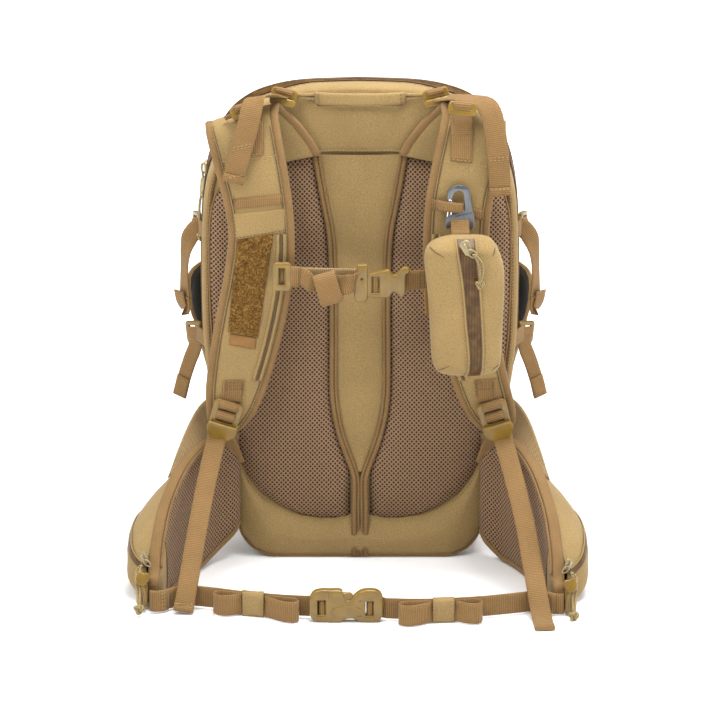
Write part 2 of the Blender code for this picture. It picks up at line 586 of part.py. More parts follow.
def build_hip_pocket(side, sign):
    """Zip pocket that bulges from the outer face of the wing."""
    stations = wing_stations(sign)[3:13]
    rings = []
    last = len(stations) - 1
    for index, (point, normal, top, edge) in enumerate(stations):
        t = index / last
        fat = 0.0230 * (0.42 + 0.58 * math.sin(math.pi * min(max(t * 0.92 + 0.04, 0.0), 1.0)))
        foot, head = edge + 0.0030, top * 0.88
        middle, half = (foot + head) / 2, (head - foot) / 2
        centre = point + normal * (WING_THICK + 3 * GAP + fat)
        rings.append([centre + normal * b + Vector((0.0, 0.0, middle + a))
                      for a, b in oval_ring(half, fat, 3.0, 16)])
    loft(f"hip_pocket_{side}", rings, CANVAS)


def build_hip_details(side, sign):
    adjuster = slotted_plate(f"belt_adjuster_{side}", 0.026, 0.038, 0.005, 0.0040, 1, PLASTIC)
    adjuster.matrix_world = (Matrix.Translation((sign * 0.2505, -0.3080, 0.0220))
                             @ Matrix.Rotation(sign * 1.42, 4, "Z") @ Matrix.Rotation(math.pi / 2, 4, "X"))
    place = smooth_path([(sign * x, y, BELT_Z) for x, y in BELT_PATH], 3)
    ribbon(f"belt_webbing_{side}", place, (0.0, 0.0, 1.0), WEB_WIDE, WEB_THICK, WEBBING)
    x, y, z = HIP_PULL
    pivot = (sign * x, y, z)
    pull = smooth_path([pivot, (sign * 0.2600, -0.3060, 0.0500), (sign * 0.2580, -0.3240, 0.0300),
                        (sign * 0.2550, -0.3400, 0.0080)], 2)
    set_origin(tube(f"hip_pull_{side}", pull, 0.0026, CORD), pivot)


# ---------------------------------------------------------------- assembly
def build_backpack():
    build_bag()
    build_frame()
    build_back_padding()
    build_front_pocket()
    for side, sign in (("left", -1), ("right", 1)):
        build_side_pocket(side, sign)
        build_compression(side, sign)
        build_shoulder_strap(side, sign)
        build_wing(side, sign)
        build_hip_pocket(side, sign)
        build_hip_details(side, sign)
    build_lifters()
    build_strap_tails()
    build_grab_handle()
    build_sternum()
    side_release("belt", 0.0250, -1, 0.0800, 0.74, 0.0360, 0.0120, -0.3500, 0.0190, 0.0055)
    build_carabiner()
    build_pouch()
    build_main_zip()


build_backpack()
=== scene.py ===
"""Looks of the hunting backpack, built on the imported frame.  Metres, +Z up, -Y is the harness side."""
import math

import bmesh
import bpy
from mathutils import Matrix, Vector, noise


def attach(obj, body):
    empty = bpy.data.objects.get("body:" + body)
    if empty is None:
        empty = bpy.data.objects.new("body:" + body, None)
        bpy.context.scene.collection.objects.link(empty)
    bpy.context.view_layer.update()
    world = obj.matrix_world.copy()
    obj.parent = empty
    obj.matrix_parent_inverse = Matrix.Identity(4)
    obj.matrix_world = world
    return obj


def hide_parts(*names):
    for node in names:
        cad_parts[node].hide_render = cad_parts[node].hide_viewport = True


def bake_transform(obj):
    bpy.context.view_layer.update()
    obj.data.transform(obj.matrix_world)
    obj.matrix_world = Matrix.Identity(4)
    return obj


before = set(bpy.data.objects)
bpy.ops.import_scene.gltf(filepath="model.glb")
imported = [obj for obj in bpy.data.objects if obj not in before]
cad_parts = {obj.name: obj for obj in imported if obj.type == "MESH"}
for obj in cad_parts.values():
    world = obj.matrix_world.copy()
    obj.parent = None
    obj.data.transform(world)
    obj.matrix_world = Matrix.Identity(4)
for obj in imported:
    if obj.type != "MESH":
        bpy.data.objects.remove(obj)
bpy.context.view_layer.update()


# ---------------------------------------------------------------- materials
class Look:
    """A node material with short calls for its nodes."""

    def __init__(self, name, roughness, metallic=0.0, sheen=0.0, specular=0.5, coat=0.0):
        self.mat = bpy.data.materials.new(name)
        self.mat.use_nodes = True
        self.tree = self.mat.node_tree
        self.shader = self.tree.nodes["Principled BSDF"]
        for socket, value in (("Roughness", roughness), ("Metallic", metallic), ("Sheen Weight", sheen),
                              ("Specular IOR Level", specular), ("Coat Weight", coat)):
            self.shader.inputs[socket].default_value = value
        if sheen:
            self.shader.inputs["Sheen Roughness"].default_value = 0.4
        self.coords = self.tree.nodes.new("ShaderNodeTexCoord")
        self.uv, self.place = self.coords.outputs["UV"], self.coords.outputs["Object"]

    def add(self, kind, settings, *inputs):
        node = self.tree.nodes.new("ShaderNode" + kind)
        for key, value in settings.items():
            setattr(node, key, value)
        for socket, value in zip(node.inputs, inputs):
            if isinstance(value, bpy.types.NodeSocket):
                self.tree.links.new(value, socket)
            elif value is not None:
                socket.default_value = value
        return node.outputs[0]

    def maths(self, operation, *inputs):
        return self.add("Math", {"operation": operation}, *inputs)

    def vector(self, operation, *inputs):
        return self.add("VectorMath", {"operation": operation}, *inputs)

    def split(self, vector):
        node = self.tree.nodes.new("ShaderNodeSeparateXYZ")
        self.tree.links.new(vector, node.inputs[0])
        return node.outputs

    def speckle(self, size, detail=2.0, vector=None):
        node = self.tree.nodes.new("ShaderNodeTexNoise")
        self.tree.links.new(vector or self.place, node.inputs["Vector"])
        node.inputs["Scale"].default_value = 1.0 / size
        node.inputs["Detail"].default_value = detail
        return node.outputs["Fac"]

    def ramp(self, factor, *stops):
        """Colours at positions of a factor: (position, (r, g, b))."""
        node = self.tree.nodes.new("ShaderNodeValToRGB")
        self.tree.links.new(factor, node.inputs[0])
        points = node.color_ramp.elements
        while len(points) < len(stops):
            points.new(0.5)
        for point, (position, colour) in zip(points, stops):
            point.position = position
            point.color = (*colour, 1.0)
        return node.outputs[0]

    def blend(self, kind, factor, low, high):
        node = self.tree.nodes.new("ShaderNodeMix")
        node.data_type = "RGBA"
        node.blend_type = kind
        for index, value in ((0, factor), (6, low), (7, high)):
            if isinstance(value, bpy.types.NodeSocket):
                self.tree.links.new(value, node.inputs[index])
            else:
                node.inputs[index].default_value = value if index == 0 else (*value, 1.0)
        return node.outputs[2]

    def weave(self, pitch):
        """Over and under threads, 0 to 1, on whichever way the surface faces."""
        x, y, z = self.split(self.scaled(2 * math.pi / pitch))
        sx, sy, sz = (self.maths("SINE", axis) for axis in (x, y, z))
        facing = self.tree.nodes.new("ShaderNodeNewGeometry").outputs["Normal"]
        nx, ny, nz = (self.maths("ABSOLUTE", axis) for axis in self.split(facing))
        back = self.maths("MULTIPLY", self.maths("MULTIPLY", sx, sz), ny)
        side = self.maths("MULTIPLY_ADD", self.maths("MULTIPLY", sy, sz), nx, back)
        whole = self.maths("MULTIPLY_ADD", self.maths("MULTIPLY", sx, sy), nz, side)
        return self.maths("MULTIPLY_ADD", whole, 0.5, 0.5)

    def scaled(self, factor, vector=None):
        node = self.tree.nodes.new("ShaderNodeVectorMath")
        node.operation = "SCALE"
        self.tree.links.new(vector or self.place, node.inputs[0])
        node.inputs["Scale"].default_value = factor
        return node.outputs[0]

    def finish(self, colour, height=None, distance=0.0005, strength=1.0):
        if isinstance(colour, bpy.types.NodeSocket):
            self.tree.links.new(colour, self.shader.inputs["Base Color"])
        else:
            self.shader.inputs["Base Color"].default_value = (*colour, 1.0)
        if height is not None:
            bump = self.tree.nodes.new("ShaderNodeBump")
            bump.inputs["Strength"].default_value = strength
            bump.inputs["Distance"].default_value = distance
            self.tree.links.new(height, bump.inputs["Height"])
            self.tree.links.new(bump.outputs[0], self.shader.inputs["Normal"])
        return self.mat


def canvas_look(name, dark, base, light):
    """Woven canvas: thread texture, heathered yarn and slow changes of tone."""
    look = Look(name, 0.88, sheen=0.12, specular=0.25)
    threads = look.weave(0.0016)
    yarn = look.speckle(0.0011, 3.0)
    mixed = look.maths("MULTIPLY_ADD", threads, 0.35, look.maths("MULTIPLY", yarn, 0.65))
    colour = look.ramp(mixed, (0.25, dark), (0.50, base), (0.78, light))
    tone = look.ramp(look.speckle(0.060, 2.0), (0.3, (0.90, 0.90, 0.90)), (0.7, (1.05, 1.05, 1.05)))
    return look.finish(look.blend("MULTIPLY", 1.0, colour, tone), mixed, 0.0004, 0.8)


def webbing_look(name, dark, base, light, rib, across=0.0030):
    """Woven tape: ribs across its width and fainter lines along it, from its UV map in metres."""
    look = Look(name, 0.80, sheen=0.10, specular=0.3)
    u, v, _ = look.split(look.uv)
    ribs = look.maths("SINE", look.maths("MULTIPLY", v, 2 * math.pi / rib))
    lines = look.maths("SINE", look.maths("MULTIPLY", u, 2 * math.pi / across))
    rough = look.maths("MULTIPLY_ADD", look.speckle(0.0010), 0.5, 0.14)
    grid = look.maths("MULTIPLY_ADD", ribs, 0.16, look.maths("MULTIPLY_ADD", lines, 0.03, rough))
    colour = look.ramp(grid, (0.10, dark), (0.42, base), (0.75, light))
    tone = look.ramp(look.speckle(0.030, 2.0), (0.3, (0.92, 0.92, 0.92)), (0.7, (1.05, 1.05, 1.05)))
    return look.finish(look.blend("MULTIPLY", 1.0, colour, tone), grid, 0.0007, 0.9)


def mesh_look(name, dark, base, light, gap=0.0054):
    """Spacer mesh: round dark holes in offset rows, from its UV map in metres."""
    look = Look(name, 0.85, sheen=0.10, specular=0.25)
    rows = []
    for shift in (0.0, 0.5):
        node = look.add("Mapping", {"vector_type": "POINT"}, look.uv)
        mapping = node.node
        mapping.inputs["Scale"].default_value = (1 / gap, 1 / (gap * 1.06), 0.0)
        mapping.inputs["Location"].default_value = (shift, shift, 0.0)
        part = look.vector("SUBTRACT", look.vector("FRACTION", node), (0.5, 0.5, 0.0))
        rows.append(look.add("VectorMath", {"operation": "LENGTH"}, part).node.outputs["Value"])
    near = look.maths("MINIMUM", *rows)
    hole = look.add("MapRange", {"interpolation_type": "SMOOTHSTEP"}, near, 0.175, 0.285, 0.0, 1.0)
    yarn = look.speckle(0.0010, 2.0)
    thread = look.ramp(yarn, (0.3, base), (0.7, light))
    colour = look.blend("MIX", hole, dark, thread)
    height = look.maths("MULTIPLY_ADD", yarn, 0.15, hole)
    return look.finish(colour, height, 0.0016, 1.0)


def pile_look(name):
    """Loop pile: short curled fibres in every direction."""
    look = Look(name, 0.95, sheen=0.3, specular=0.15)
    curls = look.speckle(0.0022, 4.0)
    tufts = look.speckle(0.0070, 2.0)
    mixed = look.maths("MULTIPLY_ADD", curls, 0.75, look.maths("MULTIPLY", tufts, 0.25))
    colour = look.ramp(mixed, (0.33, (0.042, 0.018, 0.003)), (0.50, (0.122, 0.058, 0.010)),
                       (0.68, (0.26, 0.142, 0.034)))
    return look.finish(colour, mixed, 0.0022, 1.0)


def zip_look(name):
    """Coated zip tape: a smooth brown film over fine woven lines."""
    look = Look(name, 0.45, specular=0.25, coat=0.08)
    u, _, _ = look.split(look.uv)
    lines = look.maths("SINE", look.maths("MULTIPLY", u, 2 * math.pi / 0.0034))
    mixed = look.maths("MULTIPLY_ADD", lines, 0.10, look.speckle(0.010, 3.0))
    colour = look.ramp(mixed, (0.3, (0.046, 0.019, 0.003)), (0.55, (0.080, 0.037, 0.006)),
                       (0.8, (0.128, 0.066, 0.015)))
    return look.finish(colour, mixed, 0.0004, 0.5)


def cord_look(name):
    """Braided cord: crossing strands, from its UV map in metres."""
    look = Look(name, 0.85, sheen=0.1, specular=0.25)
    u, v, _ = look.split(look.uv)
    one = look.maths("SINE", look.maths("MULTIPLY_ADD", v, 2000.0, look.maths("MULTIPLY", u, 2200.0)))
    two = look.maths("SINE", look.maths("MULTIPLY_ADD", v, 2000.0, look.maths("MULTIPLY", u, -2200.0)))
    braid = look.maths("MULTIPLY_ADD", look.maths("MAXIMUM", one, two), 0.35,
                       look.maths("MULTIPLY", look.speckle(0.0013), 0.5))
    colour = look.ramp(braid, (0.10, (0.10, 0.072, 0.025)), (0.40, (0.30, 0.215, 0.085)),
                       (0.65, (0.46, 0.36, 0.18)))
    return look.finish(colour, braid, 0.0007, 1.0)


def moulded_look(name, base, warm, roughness, metallic=0.0, coat=0.0):
    """Moulded or cast surface: fine orange-peel grain and faint mottling."""
    look = Look(name, roughness, metallic=metallic, specular=0.5, coat=coat)
    grain = look.speckle(0.0009, 2.0)
    mottle = look.speckle(0.012, 3.0)
    colour = look.ramp(mottle, (0.35, base), (0.70, warm))
    return look.finish(colour, grain, 0.00012, 0.5)


def brushed_look(name, base, light, roughness):
    """Anodised alloy with fine brushing along its height."""
    look = Look(name, roughness, metallic=0.85, specular=0.5)
    lines = look.speckle(0.0012, 2.0, look.vector("MULTIPLY", look.place, (3.0, 3.0, 0.15)))
    return look.finish(look.ramp(lines, (0.3, base), (0.7, light)), lines, 0.0001, 0.4)


CANVAS = canvas_look("canvas", (0.178, 0.112, 0.038), (0.285, 0.190, 0.074), (0.395, 0.280, 0.124))
LINING = canvas_look("lining", (0.010, 0.007, 0.004), (0.022, 0.016, 0.009), (0.045, 0.034, 0.020))
BINDING = webbing_look("binding", (0.130, 0.072, 0.023), (0.225, 0.128, 0.046), (0.305, 0.186, 0.074),
                       0.0013, 0.0024)
WEBBING = webbing_look("webbing", (0.115, 0.060, 0.018), (0.222, 0.124, 0.042), (0.310, 0.186, 0.070),
                       0.0022)
ELASTIC = webbing_look("elastic", (0.165, 0.102, 0.042), (0.300, 0.200, 0.092), (0.400, 0.286, 0.145),
                       0.0024, 0.0060)
MESH = mesh_look("air_mesh", (0.030, 0.012, 0.006), (0.215, 0.124, 0.062), (0.320, 0.198, 0.108))
PILE = pile_look("loop_pile")
ZIP = zip_look("zip_tape")
CORD = cord_look("pull_cord")
THREAD = webbing_look("thread", (0.24, 0.150, 0.055), (0.38, 0.255, 0.105), (0.47, 0.33, 0.15), 0.0012)
# SHADE is dark thread for stitches, and also painted shade: dark lines laid in creases, folds, seams and under edges
# where only shade falls.
SHADE = webbing_look("thread_and_painted_shade", (0.07, 0.040, 0.016), (0.120, 0.074, 0.034), (0.17, 0.108, 0.052),
                     0.0012)
PLASTIC = moulded_look("buckle_plastic", (0.165, 0.095, 0.011), (0.218, 0.127, 0.015), 0.30, coat=0.18)
LEATHER = moulded_look("blank_label", (0.185, 0.082, 0.011), (0.230, 0.108, 0.016), 0.60)
SLIDER = moulded_look("zip_metal", (0.260, 0.205, 0.100), (0.330, 0.265, 0.140), 0.35, metallic=0.35)
ALLOY = brushed_look("clip_alloy", (0.100, 0.106, 0.110), (0.175, 0.182, 0.188), 0.30)
WIRE = brushed_look("clip_wire", (0.55, 0.56, 0.57), (0.78, 0.79, 0.80), 0.18)
BOARD = moulded_look("frame_board", (0.020, 0.020, 0.020), (0.035, 0.035, 0.035), 0.5)
ROD = brushed_look("frame_alloy", (0.55, 0.56, 0.57), (0.70, 0.71, 0.72), 0.3)
SLOTS = {"lining": "canvas", "elastic": "webbing", "thread": "webbing", "thread_and_painted_shade": "binding",
         "blank_label": "loop_pile"}


def slot_of(mat):
    name = mat.name.split(".")[0]
    return SLOTS.get(name, name)


# ---------------------------------------------------------------- building blocks
def lerp(a, b, t):
    return a + (b - a) * t


def smooth(points, steps=4, closed=False):
    """Catmull-Rom curve through points of any number of values."""
    pts = [Vector(p) for p in points]
    if closed:
        ends = [pts[-1], *pts, pts[0], pts[1]]
    else:
        ends = [2 * pts[0] - pts[1], *pts, 2 * pts[-1] - pts[-2]]
    path = []
    for before, start, end, after in zip(ends, ends[1:], ends[2:], ends[3:]):
        for step in range(steps):
            t = step / steps
            path.append(0.5 * (2 * start + (end - before) * t + (2 * before - 5 * start + 4 * end - after) * t * t
                               + (3 * start - before - 3 * end + after) * t ** 3))
    if not closed:
        path.append(pts[-1])
    return path


def resample(path, step):
    """Points at even distances along a path."""
    total = sum((b - a).length for a, b in zip(path, path[1:]))
    count = max(2, round(total / step) + 1)
    out, travelled, index = [path[0].copy()], 0.0, 0
    for k in range(1, count - 1):
        goal = total * k / (count - 1)
        while travelled + (path[index + 1] - path[index]).length < goal:
            travelled += (path[index + 1] - path[index]).length
            index += 1
        gap = (path[index + 1] - path[index]).length
        out.append(path[index].lerp(path[index + 1], (goal - travelled) / gap))
    out.append(path[-1].copy())
    return out


def table(points, at):
    """Value at a place from (place, value) pairs in rising order."""
    for (a, low), (b, high) in zip(points, points[1:]):
        if at <= b:
            return lerp(low, high, min(max((at - a) / (b - a), 0.0), 1.0))
    return points[-1][1]


def wrinkle(point, size, height):
    return noise.noise(Vector(point) / size) * height


def piece(name, verts, faces, mat, body, uvs=None, subdivide=0, replaces=()):
    """A mesh that rides on a body, or on none when body is None and the caller bakes its placement."""
    data = bpy.data.meshes.new(name)
    data.from_pydata([tuple(v) for v in verts], [], faces)
    if uvs:
        layer = data.uv_layers.new(name="metres")
        for loop in data.loops:
            layer.data[loop.index].uv = uvs[loop.vertex_index]
    for polygon in data.polygons:
        polygon.use_smooth = True
    data.materials.append(mat)
    made = bpy.data.objects.new(name, data)
    bpy.context.scene.collection.objects.link(made)
    shape = bmesh.new()
    shape.from_mesh(data)
    bmesh.ops.recalc_face_normals(shape, faces=shape.faces)
    shape.to_mesh(data)
    shape.free()
    if subdivide:
        smoothing = made.modifiers.new("smooth", "SUBSURF")
        smoothing.levels = smoothing.render_levels = subdivide
    slot_of(mat)
    if body:
        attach(made, body)
    if replaces:
        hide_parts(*replaces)
    return made


def grid(rows, wrap=False, caps=False):
    """Vertices, faces and UVs in metres of a surface through rows of points."""
    wide = len(rows[0])
    verts = [point for row in rows for point in row]
    uvs, v = [], 0.0
    for index, row in enumerate(rows):
        if index:
            v += sum((Vector(a) - Vector(b)).length for a, b in zip(row, rows[index - 1])) / wide
        u = 0.0
        for k, point in enumerate(row):
            if k:
                u += (Vector(point) - Vector(row[k - 1])).length
            uvs.append((u, v))
    faces = []
    for r in range(len(rows) - 1):
        for c in range(wide if wrap else wide - 1):
            after = (c + 1) % wide
            faces.append((r * wide + c, r * wide + after, (r + 1) * wide + after, (r + 1) * wide + c))
    if caps:
        faces.append(tuple(range(wide))[::-1])
        faces.append(tuple(range((len(rows) - 1) * wide, len(rows) * wide)))
    return verts, faces, uvs


def frames(path, hint=None):
    """Direction, side and up at each point of a path; up stays close to the hint or is carried along."""
    found, up = [], hint
    for index, point in enumerate(path):
        run = (path[min(index + 1, len(path) - 1)] - path[max(index - 1, 0)]).normalized()
        if up is None:
            up = Vector((0, 0, 1)) if abs(run.z) < 0.9 else Vector((0, -1, 0))
        side = run.cross(hint if hint is not None else up).normalized()
        up = side.cross(run).normalized()
        found.append((run, side, up))
    return found


def tube(name, path, radius, mat, body, sides=10, flat=1.0, hint=None, closed=False, **more):
    """Round or flattened tube; radius may be a list."""
    path = [Vector(p) for p in path]
    rows = []
    for index, (point, (run, side, up)) in enumerate(zip(path, frames(path, hint))):
        r = radius[index] if isinstance(radius, list) else radius
        rows.append([point + side * (r * math.cos(a)) + up * (r * flat * math.sin(a))
                     for a in (2 * math.pi * k / sides for k in range(sides))])
    if closed:
        rows.append(rows[0])
    verts, faces, uvs = grid(rows, wrap=True, caps=not closed)
    return piece(name, verts, faces, mat, body, uvs, **more)


def web_rows(path, across, width, thick=0.0018):
    """Rings of a webbing's section: flat faces, rounded edges; across is one direction or one per point."""
    path = [Vector(p) for p in path]
    sides = across if isinstance(across, list) else [across] * len(path)
    widths = width if isinstance(width, list) else [width] * len(path)
    rows = []
    for index, point in enumerate(path):
        run = path[min(index + 1, len(path) - 1)] - path[max(index - 1, 0)]
        side = Vector(sides[index]).normalized()
        side = (side - run.normalized() * side.dot(run.normalized())).normalized()
        normal = side.cross(run).normalized()
        half, t = widths[index] / 2, thick / 2
        section = [(-half, 0), (-half + t, t), (-half * 0.5, t * 1.1), (0, t * 1.15), (half * 0.5, t * 1.1),
                   (half - t, t),
                   (half, 0), (half - t, -t), (half * 0.5, -t * 1.1), (0, -t * 1.15),
                   (-half * 0.5, -t * 1.1), (-half + t, -t)]
        rows.append([point + side * a + normal * b for a, b in section])
    return rows


def web(name, path, across, width, body, mat=WEBBING, thick=0.0018, **more):
    rows = web_rows(path, across, width, thick)
    verts, faces, uvs = grid(rows, wrap=True, caps=True)
    half = (width[0] if isinstance(width, list) else width) / 2
    lanes = [-half, -half, -half * 0.5, 0, half * 0.5, half, half, half, half * 0.5, 0, -half * 0.5, -half]
    uvs = [(lanes[i % 12], v) for i, (_, v) in enumerate(uvs)]
    return piece(name, verts, faces, mat, body, uvs, **more)


def stitch_line(name, lines, body, mat=THREAD, length=0.0030, gap=0.0013, thick=0.00045, lift=0.0002,
                **more):
    """Rows of thread stitches; lines are (path, surface normal or one per point)."""
    verts, faces = [], []
    for path, normal in lines:
        path = [Vector(p) for p in path]
        dense = resample(path, length + gap)
        for index, (a, b) in enumerate(zip(dense, dense[1:])):
            run = (b - a)
            if run.length < 1e-6:
                continue
            up = Vector(normal[min(int(index * len(normal) / len(dense)), len(normal) - 1)]
                        if isinstance(normal, list) else normal).normalized()
            run.normalize()
            side = run.cross(up).normalized()
            centre = (a + b) / 2 + up * lift
            half = length / 2
            base = len(verts)
            verts.append(centre - run * half)
            for along in (-0.6, 0.6):
                for s, u in ((1, 0), (0, 1), (-1, 0), (0, -1)):
                    verts.append(centre + run * (half * along) + side * (thick * s) + up * (thick * 0.8 * u))
            verts.append(centre + run * half)
            for k in range(4):
                n = (k + 1) % 4
                faces.append((base, base + 1 + n, base + 1 + k))
                faces.append((base + 1 + k, base + 1 + n, base + 5 + n, base + 5 + k))
                faces.append((base + 9, base + 5 + k, base + 5 + n))
    uvs = [(v.x + v.y, v.z) for v in verts]
    return piece(name, verts, faces, mat, body, uvs, **more)


def plate(name, loops, thickness, bevel, mat, body, place, resolution=2, replaces=()):
    """Moulded plate: outline and holes in its own plane, with rounded edges."""
    curve = bpy.data.curves.new(name, "CURVE")
    curve.dimensions, curve.fill_mode = "2D", "BOTH"
    curve.extrude, curve.bevel_depth, curve.bevel_resolution = thickness / 2 - bevel, bevel, resolution
    for index, loop in enumerate(loops):
        spline = curve.splines.new("POLY")
        spline.points.add(len(loop) - 1)
        for point, (x, y) in zip(spline.points, loop):
            point.co = (x, y, 0.0, 1.0)
        spline.use_cyclic_u = True
    shaped = bpy.data.objects.new(name + "_curve", curve)
    bpy.context.scene.collection.objects.link(shaped)
    bpy.context.view_layer.update()
    data = bpy.data.meshes.new_from_object(shaped.evaluated_get(bpy.context.evaluated_depsgraph_get()))
    bpy.data.objects.remove(shaped)
    bpy.data.curves.remove(curve)
    data.name = name
    data.transform(place)
    data.materials.clear()
    data.materials.append(mat)
    shape = bmesh.new()
    shape.from_mesh(data)
    bmesh.ops.remove_doubles(shape, verts=shape.verts, dist=0.00002)
    bmesh.ops.recalc_face_normals(shape, faces=shape.faces)
    shape.to_mesh(data)
    shape.free()
    for polygon in data.polygons:
        polygon.use_smooth = True
    made = bpy.data.objects.new(name, data)
    bpy.context.scene.collection.objects.link(made)
    made.data.set_sharp_from_angle(angle=math.radians(35))
    slot_of(mat)
    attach(made, body)
    if replaces:
        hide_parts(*replaces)
    return made


def rounded(width, height, radius, steps=4, centre=(0.0, 0.0)):
    loop = []
    for corner, (sx, sy) in enumerate(((1, 1), (-1, 1), (-1, -1), (1, -1))):
        for step in range(steps + 1):
            angle = math.pi / 2 * (corner + step / steps)
            loop.append((centre[0] + sx * (width / 2 - radius) + radius * math.cos(angle),
                         centre[1] + sy * (height / 2 - radius) + radius * math.sin(angle)))
    return loop


def facing(centre, turn=0.0, lean=0.0, yaw=0.0):
    """Placement of a flat piece that faces -Y, turned in its plane, leaned back and turned about Z."""
    return (Matrix.Translation(centre) @ Matrix.Rotation(yaw, 4, "Z") @ Matrix.Rotation(lean, 4, "X")
            @ Matrix.Rotation(turn, 4, "Y") @ Matrix.Rotation(math.pi / 2, 4, "X"))


# ---------------------------------------------------------------- stage
AMBIENT = 0.35


def build_stage():
    scene = bpy.context.scene
    world = bpy.data.worlds.new("studio")
    world.use_nodes = True
    sky = world.node_tree.nodes["Background"]
    sky.inputs["Color"].default_value = (1.0, 1.0, 1.0, 1.0)
    rays = world.node_tree.nodes.new("ShaderNodeLightPath")
    seen = world.node_tree.nodes.new("ShaderNodeMapRange")
    seen.inputs["To Min"].default_value, seen.inputs["To Max"].default_value = AMBIENT, 1.0
    world.node_tree.links.new(rays.outputs["Is Camera Ray"], seen.inputs["Value"])
    world.node_tree.links.new(seen.outputs["Result"], sky.inputs["Strength"])
    scene.world = world
    scene.view_settings.view_transform = "Standard"
    floor_data = bpy.data.meshes.new("floor")
    floor_data.from_pydata([(-9, -9, 0), (9, -9, 0), (9, 9, 0), (-9, 9, 0)], [], [(0, 1, 2, 3)])
    floor = bpy.data.objects.new("floor", floor_data)
    scene.collection.objects.link(floor)
    paper = Look("paper", 0.9, specular=0.1)
    away = paper.add("VectorMath", {"operation": "LENGTH"}, paper.place).node.outputs["Value"]
    glow = paper.add("MapRange", {"interpolation_type": "SMOOTHSTEP"}, away, 0.55, 1.15, 0.05, 1.0)
    paper.tree.links.new(glow, paper.shader.inputs["Emission Strength"])
    paper.shader.inputs["Emission Color"].default_value = (1.0, 1.0, 1.0, 1.0)
    floor_data.materials.append(paper.finish((0.88, 0.88, 0.88)))
    for name, place, target, size, power in (("key", (-1.2, -2.0, 2.9), (0, 0, 0.3), 1.2, 52.0),
                                             ("fill", (1.6, -2.0, 2.4), (0, 0, 0.3), 1.6, 14.0),
                                             ("left", (-2.2, -0.9, 1.2), (0, -0.2, 0.1), 1.0, 17.0),
                                             ("right", (2.2, -0.9, 1.2), (0, -0.2, 0.1), 1.0, 21.0),
                                             ("top", (0.3, -0.15, 2.6), (0, -0.1, 0.3), 1.3, 92.0)):
        lamp = bpy.data.lights.new(name, "AREA")
        lamp.size, lamp.energy = size, power
        made = bpy.data.objects.new(name, lamp)
        made.location = place
        made.rotation_euler = (Vector(target) - Vector(place)).to_track_quat("-Z", "Y").to_euler()
        scene.collection.objects.link(made)
    camera = bpy.data.cameras.new("camera")
    camera.lens, camera.sensor_width = 168.0, 36.0
    eye = bpy.data.objects.new("camera", camera)
    elevation, distance, target = math.radians(16.0), 4.0, Vector((0.0, -0.12, 0.245))
    eye.location = target + Vector((0, -math.cos(elevation), math.sin(elevation))) * distance
    eye.rotation_euler = (math.pi / 2 - elevation, 0, 0)
    scene.collection.objects.link(eye)
    scene.camera = eye


# ---------------------------------------------------------------- the bag
BACK_Y, ZIP_Y, FRONT_Y, FOOT_Z = -0.113, -0.0695, 0.110, 0.009
PROFILE = [(0.120, 0.009), (0.142, 0.020), (0.152, 0.050), (0.156, 0.100), (0.172, 0.165),
           (0.185, 0.245), (0.188, 0.320), (0.187, 0.400), (0.182, 0.460), (0.172, 0.500),
           (0.157, 0.530), (0.139, 0.549), (0.112, 0.563), (0.070, 0.572), (0.0, 0.575)]
LEVELS = [(ZIP_Y, 1.0, 1.0), (0.010, 1.0, 0.992), (0.055, 0.986, 0.972), (0.084, 0.960, 0.944),
          (0.100, 0.928, 0.912), (FRONT_Y, 0.880, 0.865)]
SIDES = (("left", -1), ("right", 1))


def hoop(y, wide=1.0, high=1.0, inset=0.0, steps=5):
    """The bag's outline at a depth, left foot to right foot over the crown, set in by a distance."""
    half = smooth([(x, z, 0.0) for x, z in PROFILE], steps)
    right = []
    for index, point in enumerate(half):
        run = (half[min(index + 1, len(half) - 1)] - half[max(index - 1, 0)]).normalized()
        right.append(Vector((max(point.x * wide - run.y * inset, 0.0), y,
                             FOOT_Z + (point.y - FOOT_Z) * high + run.x * inset)))
    return [Vector((-p.x, p.y, p.z)) for p in right] + right[::-1][1:]


def level_factors(y):
    for (a, wide_a, high_a), (b, wide_b, high_b) in zip(LEVELS, LEVELS[1:]):
        if y <= b:
            t = (y - a) / (b - a)
            return lerp(wide_a, wide_b, t), lerp(high_a, high_b, t)
    return LEVELS[-1][1:]


def ease(value, low, high):
    t = min(max((value - low) / (high - low), 0.0), 1.0)
    return t * t * (3 - 2 * t)


def outward(point):
    return Vector((point.x, 0, point.z - 0.25)).normalized()


def front_hoop(y, inset=0.0):
    """Outline of the front shell, whose crown falls away behind the zip and most at its corners."""
    found = []
    for p in hoop(y, *level_factors(y), inset=inset):
        high, wide, depth = ease(p.z, 0.36, 0.48), min(1.0, (p.x / 0.12) ** 2), max(y - ZIP_Y, 0.0)
        found.append(p - Vector((math.copysign(0.05 * wide, p.x), 0, 0.13 + 0.09 * wide)) * (depth * high))
    return found


def slanted(points, amount):
    """Set the crown's corners in by an amount, so that the gusset slopes towards the back there."""
    return [p - outward(p) * (amount * ease(abs(p.x), 0.05, 0.11) * ease(p.z, 0.44, 0.50)) for p in points]


def lined(made, thickness):
    """Give a shell its thickness, with dark lining inside."""
    made.data.materials.append(LINING)
    wall = made.modifiers.new("wall", "SOLIDIFY")
    wall.thickness, wall.offset, wall.material_offset, wall.material_offset_rim = thickness, -1.0, 1, 0
    return made


def sagging(point, amount):
    """Soft unevenness of filled fabric: folds that run mostly across, deeper low on the bag."""
    low = 1.0 + 0.8 * max(0.0, (0.30 - point.z) / 0.30)
    return amount * low * (noise.noise(Vector((point.x * 9, point.y * 14, point.z * 22)))
                           + 0.5 * noise.noise(Vector((point.x * 25, point.y * 30 + 5, point.z * 48))))


